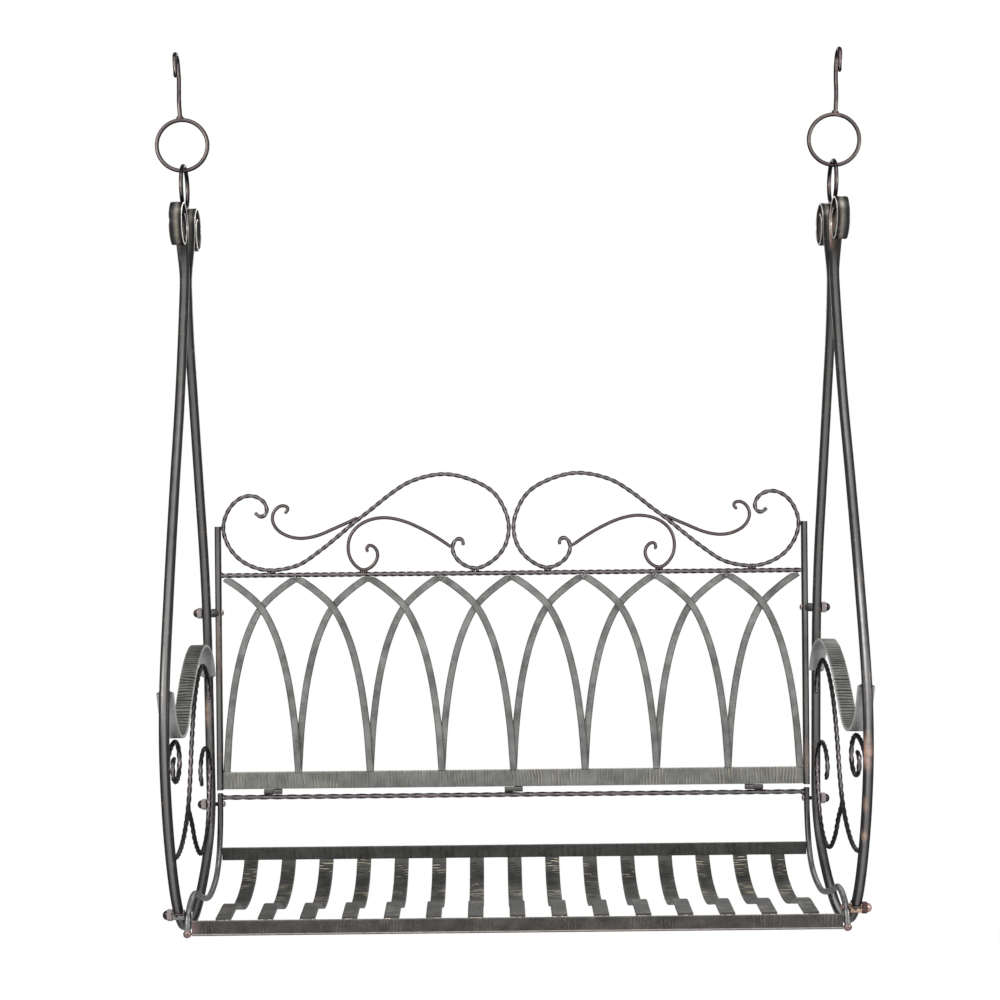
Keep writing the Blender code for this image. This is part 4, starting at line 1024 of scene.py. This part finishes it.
for side_name, sign in SIDES:
    main = crest_line(MAIN_CREST, sign)
    scroll = forged(
        "twisted_crest_" + side_name, main, Y_AXIS, square_section(CREST_HALF_DIAGONAL),
        twist=CREST_QUARTER_TURN, taper=0.007,
    )
    dressed(scroll, TWIST_PAINT, "twisted_iron", "crest_scroll_" + side_name)
    outer = clear_of(crest_line(OUTER_CREST, sign), main, CREST_HALF_DIAGONAL)
    inner = clear_of(crest_line(INNER_CREST, sign)[::-1], main, CREST_HALF_DIAGONAL)[::-1]
    for kind, line in (("outer", outer), ("inner", inner)):
        section = round_section(SMALL_SCROLL_RADIUS, 12)
        small = forged(
            f"plain_{kind}_{side_name}", line, Y_AXIS, section, dent=0.0002, taper=0.006,
        )
        dressed(small, WIRE_PAINT, "dark_wire", f"{kind}_crest_{side_name}")
    turn = len(main) // 2
    low, second, rest = (
        min(points, key=lambda point: point.z) for points in (main[:turn], main[turn:], inner)
    )
    outmost = max(main, key=lambda point: abs(point.x))
    touch = min(main, key=lambda point: abs(point.x))
    spots = [outer[-1], inner[0], outmost + Vector((sign * 0.004, 0, 0)), touch]
    for point in (low, second, rest):
        spots += [point + Vector((x, 0, -0.004)) for x in (-0.004, 0.004)]
    beads = weld_beads("crest_welds_" + side_name, spots, CREST_BEAD)
    dressed(beads, WIRE_PAINT, "dark_wire")

# Hinges: three barrel hinges join the bottom rail to a twisted rod between the seat's side
# bars. Each is two short tubes on tabs, one welded on the rail and one on the rod, with a
# pin through both; the bolts above keep the panel from folding on them.
HINGE_SPREAD, HINGE_RADIUS, HINGE_LENGTH = 0.476, 0.0050, 0.036
HINGE_PIN_RADIUS, HINGE_PIN_LENGTH = 0.0022, 0.014
ROD_QUARTER_TURN, ROD_BEAD = 0.0275, 0.0058
SEAT_HALF = SIDE_BAR_X - SIDE_BAR_RADIUS - GAP
line = straight((-SEAT_HALF, BACK_Y, ROD_Z), (SEAT_HALF, BACK_Y, ROD_Z), TWISTED_STEPS)
rod = forged("twisted_hinge_rod", line, Y_AXIS, twisted_bar, twist=ROD_QUARTER_TURN)
dressed(rod, TWIST_PAINT, "twisted_iron", "hinge_rod")
ends = [(sign * (SEAT_HALF - 0.001), BACK_Y, ROD_Z) for _, sign in SIDES]
dressed(weld_beads("rod_welds", ends, ROD_BEAD), TWIST_PAINT, "twisted_iron")
rail_edge = BOTTOM_RAIL_Z - BOTTOM_RAIL_HEIGHT / 2
axis_z = (rail_edge + ROD_Z + RAIL_HALF_DIAGONAL) / 2
half = (HINGE_LENGTH - GAP) / 2
barrel_profile = tube_profile(half / 2, HINGE_RADIUS, HINGE_PIN_RADIUS + GAP)
pin_profile = [
    (-HINGE_PIN_LENGTH, 0.001, 0.3), (0.0002 - HINGE_PIN_LENGTH, HINGE_PIN_RADIUS, 0.9),
    (0.0, HINGE_PIN_RADIUS, 0.9), (0.0003, 0.001, 0.3),
]
for index, kind in ((-1, "left"), (0, "middle"), (1, "right")):
    rail_side = -1 if index == 1 else 1
    for owner, node, end, side in (
        ("rail", "bottom_rail", rail_edge, rail_side), ("rod", "hinge_rod", ROD_Z, -rail_side),
    ):
        x = index * HINGE_SPREAD + side * (half + GAP) / 2
        barrel = turned(f"hinge_{kind}_{owner}", barrel_profile, 28)
        at = Matrix.Translation((x, BACK_Y, axis_z))
        dressed(barrel, BARREL_PAINT, "twisted_iron", node, place=at)
        line = straight((x, BACK_Y, end), (x, BACK_Y, axis_z), 4)
        section = flat_section(half, HINGE_RADIUS * 0.9)
        tab = forged(f"hinge_tab_{kind}_{owner}", line, X_AXIS, section)
        dressed(tab, BARREL_PAINT, "twisted_iron", node)
    tip = index * HINGE_SPREAD + rail_side * HINGE_PIN_LENGTH
    pin = turned(f"hinge_pin_{kind}", pin_profile, 16)
    turn = Matrix.Rotation(0 if rail_side > 0 else math.pi, 4, "Z")
    at = Matrix.Translation((tip, BACK_Y, axis_z)) @ turn
    dressed(pin, NUT_PAINT, "twisted_iron", "hinge_rod", place=at)

# Seat: side bars bent to the seat's profile with a forged ball at the front, flat rails at
# the front and rear, and fifteen hammered flat slats bent in an S. Their front lips are
# welded on the front rail's upper edge and their rear ends to the rear rail's lower edge.
SIDE_BALL_RADIUS, SIDE_STEP, SLAT_STEP = 0.0075, 0.004, 0.0016
FRONT_RAIL_SET, FRONT_RAIL_DROP, FRONT_RAIL_HEIGHT = 0.010, 0.0219, 0.027
REAR_RAIL_SET, REAR_RAIL_RISE, REAR_RAIL_HEIGHT = 0.025, 0.0352, 0.025
SEAT_RAIL_THICKNESS, LIP_BEAD, REAR_BEAD = 0.005, 0.0014, 0.0024
SLATS, SLAT_MARGIN, SLAT_WIDTH, SLAT_THICKNESS = 15, 0.043, 0.028, 0.004
SIDE_BAR = [
    (1.0, 1.164), (1.0, 1.0), (0.99, 0.707), (0.942, 0.273), (0.861, 0.019),
    (0.67, -0.144), (0.546, -0.134), (0.313, 0.048), (0.186, 0.166), (0.092, 0.142),
    (0.036, 0.072), (0.0, 0.0), (-0.02, -0.144), (-0.027, -0.245),
]
SLAT = [
    (0.927, 0.116), (0.845, -0.068), (0.691, -0.207), (0.517, -0.245), (0.392, -0.188),
    (0.285, -0.061), (0.203, -0.014), (0.092, -0.03),
]
SLAT_PITCH = (2 * SEAT_HALF - 2 * SLAT_MARGIN - SLAT_WIDTH) / (SLATS - 1)


def seat_point(shares):
    """A place on the seat's profile, with x at zero."""
    way = LOWER_BOLT - FOOT
    return FOOT + Vector((0, shares[0] * way.y, PIVOT_Z + shares[1] * way.z))


def sheen_on_bend(color, place, marks, scuffs):
    """Painted sheen: the side bars are painted paler and greyer where they bend lowest."""
    low = (0 - place.part("Z")).between(1.505, 1.545)
    return color.blend((0.23, 0.235, 0.23), low * (scuffs * 0.9 + 0.05))


# The side bars are painted paler down their middle and towards the front, and darker at the sides,
# as painted light.
SIDE_PAINT = bronze_paint(
    "side_bar_paint", (0.018, 0.0175, 0.0175), (0.112, 0.108, 0.102), (0.46, 0.31, 0.26),
    wear=0.12, shine=0.36, crown=0.50, front_light=0.20, light_range=(0.66, 1.0), extra=sheen_on_bend,
)
BALL_PAINT = bronze_paint(
    "ball_paint", (0.085, 0.062, 0.060), (0.33, 0.235, 0.215), (0.50, 0.30, 0.25),
    wear=0.5, metal=0.85, shine=0.34,
)
bar_line = evenly(flowing([seat_point(pair) for pair in SIDE_BAR]), SIDE_STEP)
for side_name, sign in SIDES:
    line = [point + Vector((sign * SIDE_BAR_X, 0, 0)) for point in bar_line]
    section = round_section(SIDE_BAR_RADIUS)
    side_bar = forged("seat_bar_" + side_name, line, X_AXIS, section, dent=0.0003)
    dressed(side_bar, SIDE_PAINT, "dark_bronze", "seat_side_" + side_name)
    ball = weld_beads("seat_ball_" + side_name, [line[-1]], SIDE_BALL_RADIUS * 0.93)
    dressed(ball, BALL_PAINT, "dark_bronze", "seat_side_" + side_name)

FRONT_Y, REAR_Y = FOOT.y - FRONT_RAIL_SET, LOWER_BOLT.y - REAR_RAIL_SET
FRONT_Z, REAR_Z = PIVOT_Z + FOOT.z - FRONT_RAIL_DROP, PIVOT_Z + FOOT.z + REAR_RAIL_RISE
FRONT_TOP_Z, REAR_LOW_Z = FRONT_Z + FRONT_RAIL_HEIGHT / 2, REAR_Z - REAR_RAIL_HEIGHT / 2


def reflection_and_shade_below(color, place, marks, scuffs):
    """Painted reflection: a thin bright line along the front rail's lower edge, and painted shade
    on the lowest edge below it.
    """
    line = 1 - abs(marks["across"] + 0.80).between(0.02, 0.11)
    color = color.blend((0.48, 0.43, 0.41), line * (scuffs * 1.2 + 0.2))
    return color.blend((0.020, 0.018, 0.016), (0 - marks["across"]).between(0.90, 0.97) * 0.8)


def lighter_in_front(color, place, marks, scuffs):
    """The slats' front lips and the undersides of their bends are paler."""
    front = marks["along"].between(0.150, 0.175)
    color = color.blend((0.105, 0.104, 0.101), front * (scuffs * 0.6 + 0.2))
    return color.blend((0.21, 0.21, 0.205), (0 - marks["over"]).between(0.7, 0.95) * 0.6)


# The slats get a painted highlight along their edges and painted shade in their hammer cuts.
SEAT_PAINT = bronze_paint(
    "seat_paint", (0.030, 0.030, 0.027), (0.090, 0.088, 0.083), (0.34, 0.24, 0.19),
    wear=0.08, metal=0.75, shine=0.48, rim=0.3, strokes=0.8, gold=0.9, pitch=0.0065,
    extra=lighter_in_front,
)
# The rear rail gets a painted highlight along its edges and painted shade in its hammer cuts.
REAR_PAINT = bronze_paint(
    "rear_rail_paint", (0.037, 0.037, 0.034), (0.084, 0.083, 0.077), (0.30, 0.22, 0.18),
    wear=0.06, metal=0.7, shine=0.50, rim=0.35, strokes=0.35, pitch=0.012,
)
# The front rail gets a painted highlight along its edges, painted shade in its hammer cuts, and a
# painted reflection and shade at its lower edge; the patch is a copper rub.
FRONT_PAINT = bronze_paint(
    "front_rail_paint", (0.038, 0.035, 0.032), (0.108, 0.101, 0.093), (0.40, 0.25, 0.21),
    wear=0.16, metal=0.7, shine=0.46, rim=0.5, strokes=0.08, gold=0.12, pitch=0.006,
    extra=reflection_and_shade_below, patches=[((-0.580, FRONT_Y, FRONT_Z), 0.030, 0.40)],
)
LIP_PAINT = bronze_paint(
    "lip_paint", (0.16, 0.15, 0.13), (0.50, 0.47, 0.42), (0.60, 0.42, 0.33),
    wear=0.4, metal=0.9, shine=0.3,
)
front_half = SIDE_BAR_X - SIDE_BALL_RADIUS - GAP
for kind, half, y, z, height, finish in (
    ("front_rail", front_half, FRONT_Y, FRONT_Z, FRONT_RAIL_HEIGHT, FRONT_PAINT),
    ("rear_rail", SEAT_HALF, REAR_Y, REAR_Z, REAR_RAIL_HEIGHT, REAR_PAINT),
):
    section = on_edge(flat_section(height, SEAT_RAIL_THICKNESS))
    line = straight((-half, y, z), (half, y, z), FLAT_STEPS)
    rail = forged("flat_" + kind, line, Y_AXIS, section, dent=0.0003)
    dressed(rail, finish, "hammered_iron", kind)

lip = Vector((0, FRONT_Y, FRONT_TOP_Z + GAP + SLAT_THICKNESS / 2))
knots = [(0, REAR_Y, REAR_LOW_Z), *[seat_point(pair) for pair in SLAT], lip]
slat_line = evenly(flowing(knots), SLAT_STEP)
lip_welds, rear_welds = [], []
for index in range(SLATS):
    x = (index - (SLATS - 1) / 2) * SLAT_PITCH
    line = [point + Vector((x, 0, 0)) for point in slat_line]
    section = flat_section(SLAT_WIDTH, SLAT_THICKNESS)
    slat = forged(f"hammered_slat_{index + 1:02d}", line, X_AXIS, section, dent=0.0003)
    dressed(slat, SEAT_PAINT, "hammered_iron", f"slat_{index + 1:02d}")
    rng = random.Random(index)
    for step in range(4):
        aside = SLAT_WIDTH * (rng.random() - 0.5) * 0.9
        lip_welds.append((x + aside, FRONT_Y - 0.0022, FRONT_TOP_Z + 0.0006))
    rear_welds += [(x + a, REAR_Y - 0.001, REAR_LOW_Z - 0.001) for a in (-0.009, 0.009)]
lips = weld_beads("slat_lip_welds", lip_welds, LIP_BEAD, stretch=(2.6, 0.8, 0.8))
dressed(lips, LIP_PAINT, "hammered_iron")
dressed(weld_beads("slat_rear_welds", rear_welds, REAR_BEAD), SEAT_PAINT, "hammered_iron")

# Studio: a pale floor under the bench, which keeps its shadow, and white behind it. Four soft
# lamps stand to the left, to the right, above and behind, and the camera looks from the front.
FLOOR_Z = -2.03
corners = [(-30, -30, FLOOR_Z), (30, -30, FLOOR_Z), (30, 30, FLOOR_Z), (-30, 30, FLOOR_Z)]
floor_mesh = bpy.data.meshes.new("studio_floor")
floor_mesh.from_pydata(corners, [], [(0, 1, 2, 3)])
studio_floor = bpy.data.objects.new("studio_floor", floor_mesh)
bpy.context.scene.collection.objects.link(studio_floor)


def seen(tone):
    """1 for the rays that look, straight or in a mirror or glass, and 0 for those that light."""
    camera, glossy, transmission = (
        tone.node("ShaderNodeLightPath", output=f"Is {kind} Ray")
        for kind in ("Camera", "Glossy", "Transmission")
    )
    return camera + glossy + transmission


pale = bpy.data.materials.new("pale_floor")
pale.use_nodes = True
pale_shader = pale.node_tree.nodes["Principled BSDF"]
pale_shader.inputs["Base Color"].default_value = (0.9, 0.9, 0.9, 1)
pale_shader.inputs["Roughness"].default_value = 0.9
ground = Tone(pale.node_tree, pale_shader.outputs[0])
white = ground.node("ShaderNodeEmission", {}, {"Color": (1, 1, 1, 1), "Strength": 1.0})
distance = ground.node("ShaderNodeTexCoord", output="Object").away((0, 0, FLOOR_Z))
share = seen(ground) * (distance.between(0.7, 2.2) * 0.5 + 0.5)
shown = ground.node("ShaderNodeMixShader", {}, {0: share, 1: ground, 2: white})
pale.node_tree.links.new(shown.socket, pale.node_tree.nodes["Material Output"].inputs["Surface"])
floor_mesh.materials.append(pale)

world = bpy.data.worlds.new("studio")
bpy.context.scene.world = world
world.use_nodes = True
air = Tone(world.node_tree, None)
behind = air.node("ShaderNodeBackground", {}, {"Color": (1, 1, 1, 1), "Strength": 1.0})
around = air.node("ShaderNodeBackground", {}, {"Color": (0.93, 0.95, 1, 1), "Strength": 0.62})
both = air.node("ShaderNodeMixShader", {}, {0: seen(air), 1: around, 2: behind})
world.node_tree.links.new(both.socket, world.node_tree.nodes["World Output"].inputs["Surface"])

for lamp_name, spot, aim, size, power in (
    ("lamp_left", (-2.6, -2.6, 0.3), (0, 0, -0.9), 1.3, 70),
    ("lamp_right", (2.9, -1.8, -0.2), (0, 0, -0.9), 1.0, 45),
    ("lamp_top", (0.2, -0.8, 2.2), (0, 0, -1.2), 2.0, 45),
    ("lamp_rear", (0.6, 3.0, 0.6), (0, 0, -0.9), 2.0, 60),
):
    lamp = bpy.data.lights.new(lamp_name, "AREA")
    lamp.size = size
    lamp.energy = power
    holder = bpy.data.objects.new(lamp_name, lamp)
    holder.location = spot
    holder.rotation_euler = (Vector(aim) - Vector(spot)).to_track_quat("-Z", "Y").to_euler()
    bpy.context.scene.collection.objects.link(holder)

eye = bpy.data.cameras.new("portrait")
eye.sensor_width = 36
eye.lens = 71.58
camera = bpy.data.objects.new("portrait", eye)
camera.location = (-0.0424, -3.7691, -0.8455)
camera.rotation_euler = (math.radians(90), math.radians(0.561), math.radians(-0.303))
bpy.context.scene.collection.objects.link(camera)
bpy.context.scene.camera = camera
bpy.context.scene.view_settings.view_transform = "Standard"

bpy.context.view_layer.update()
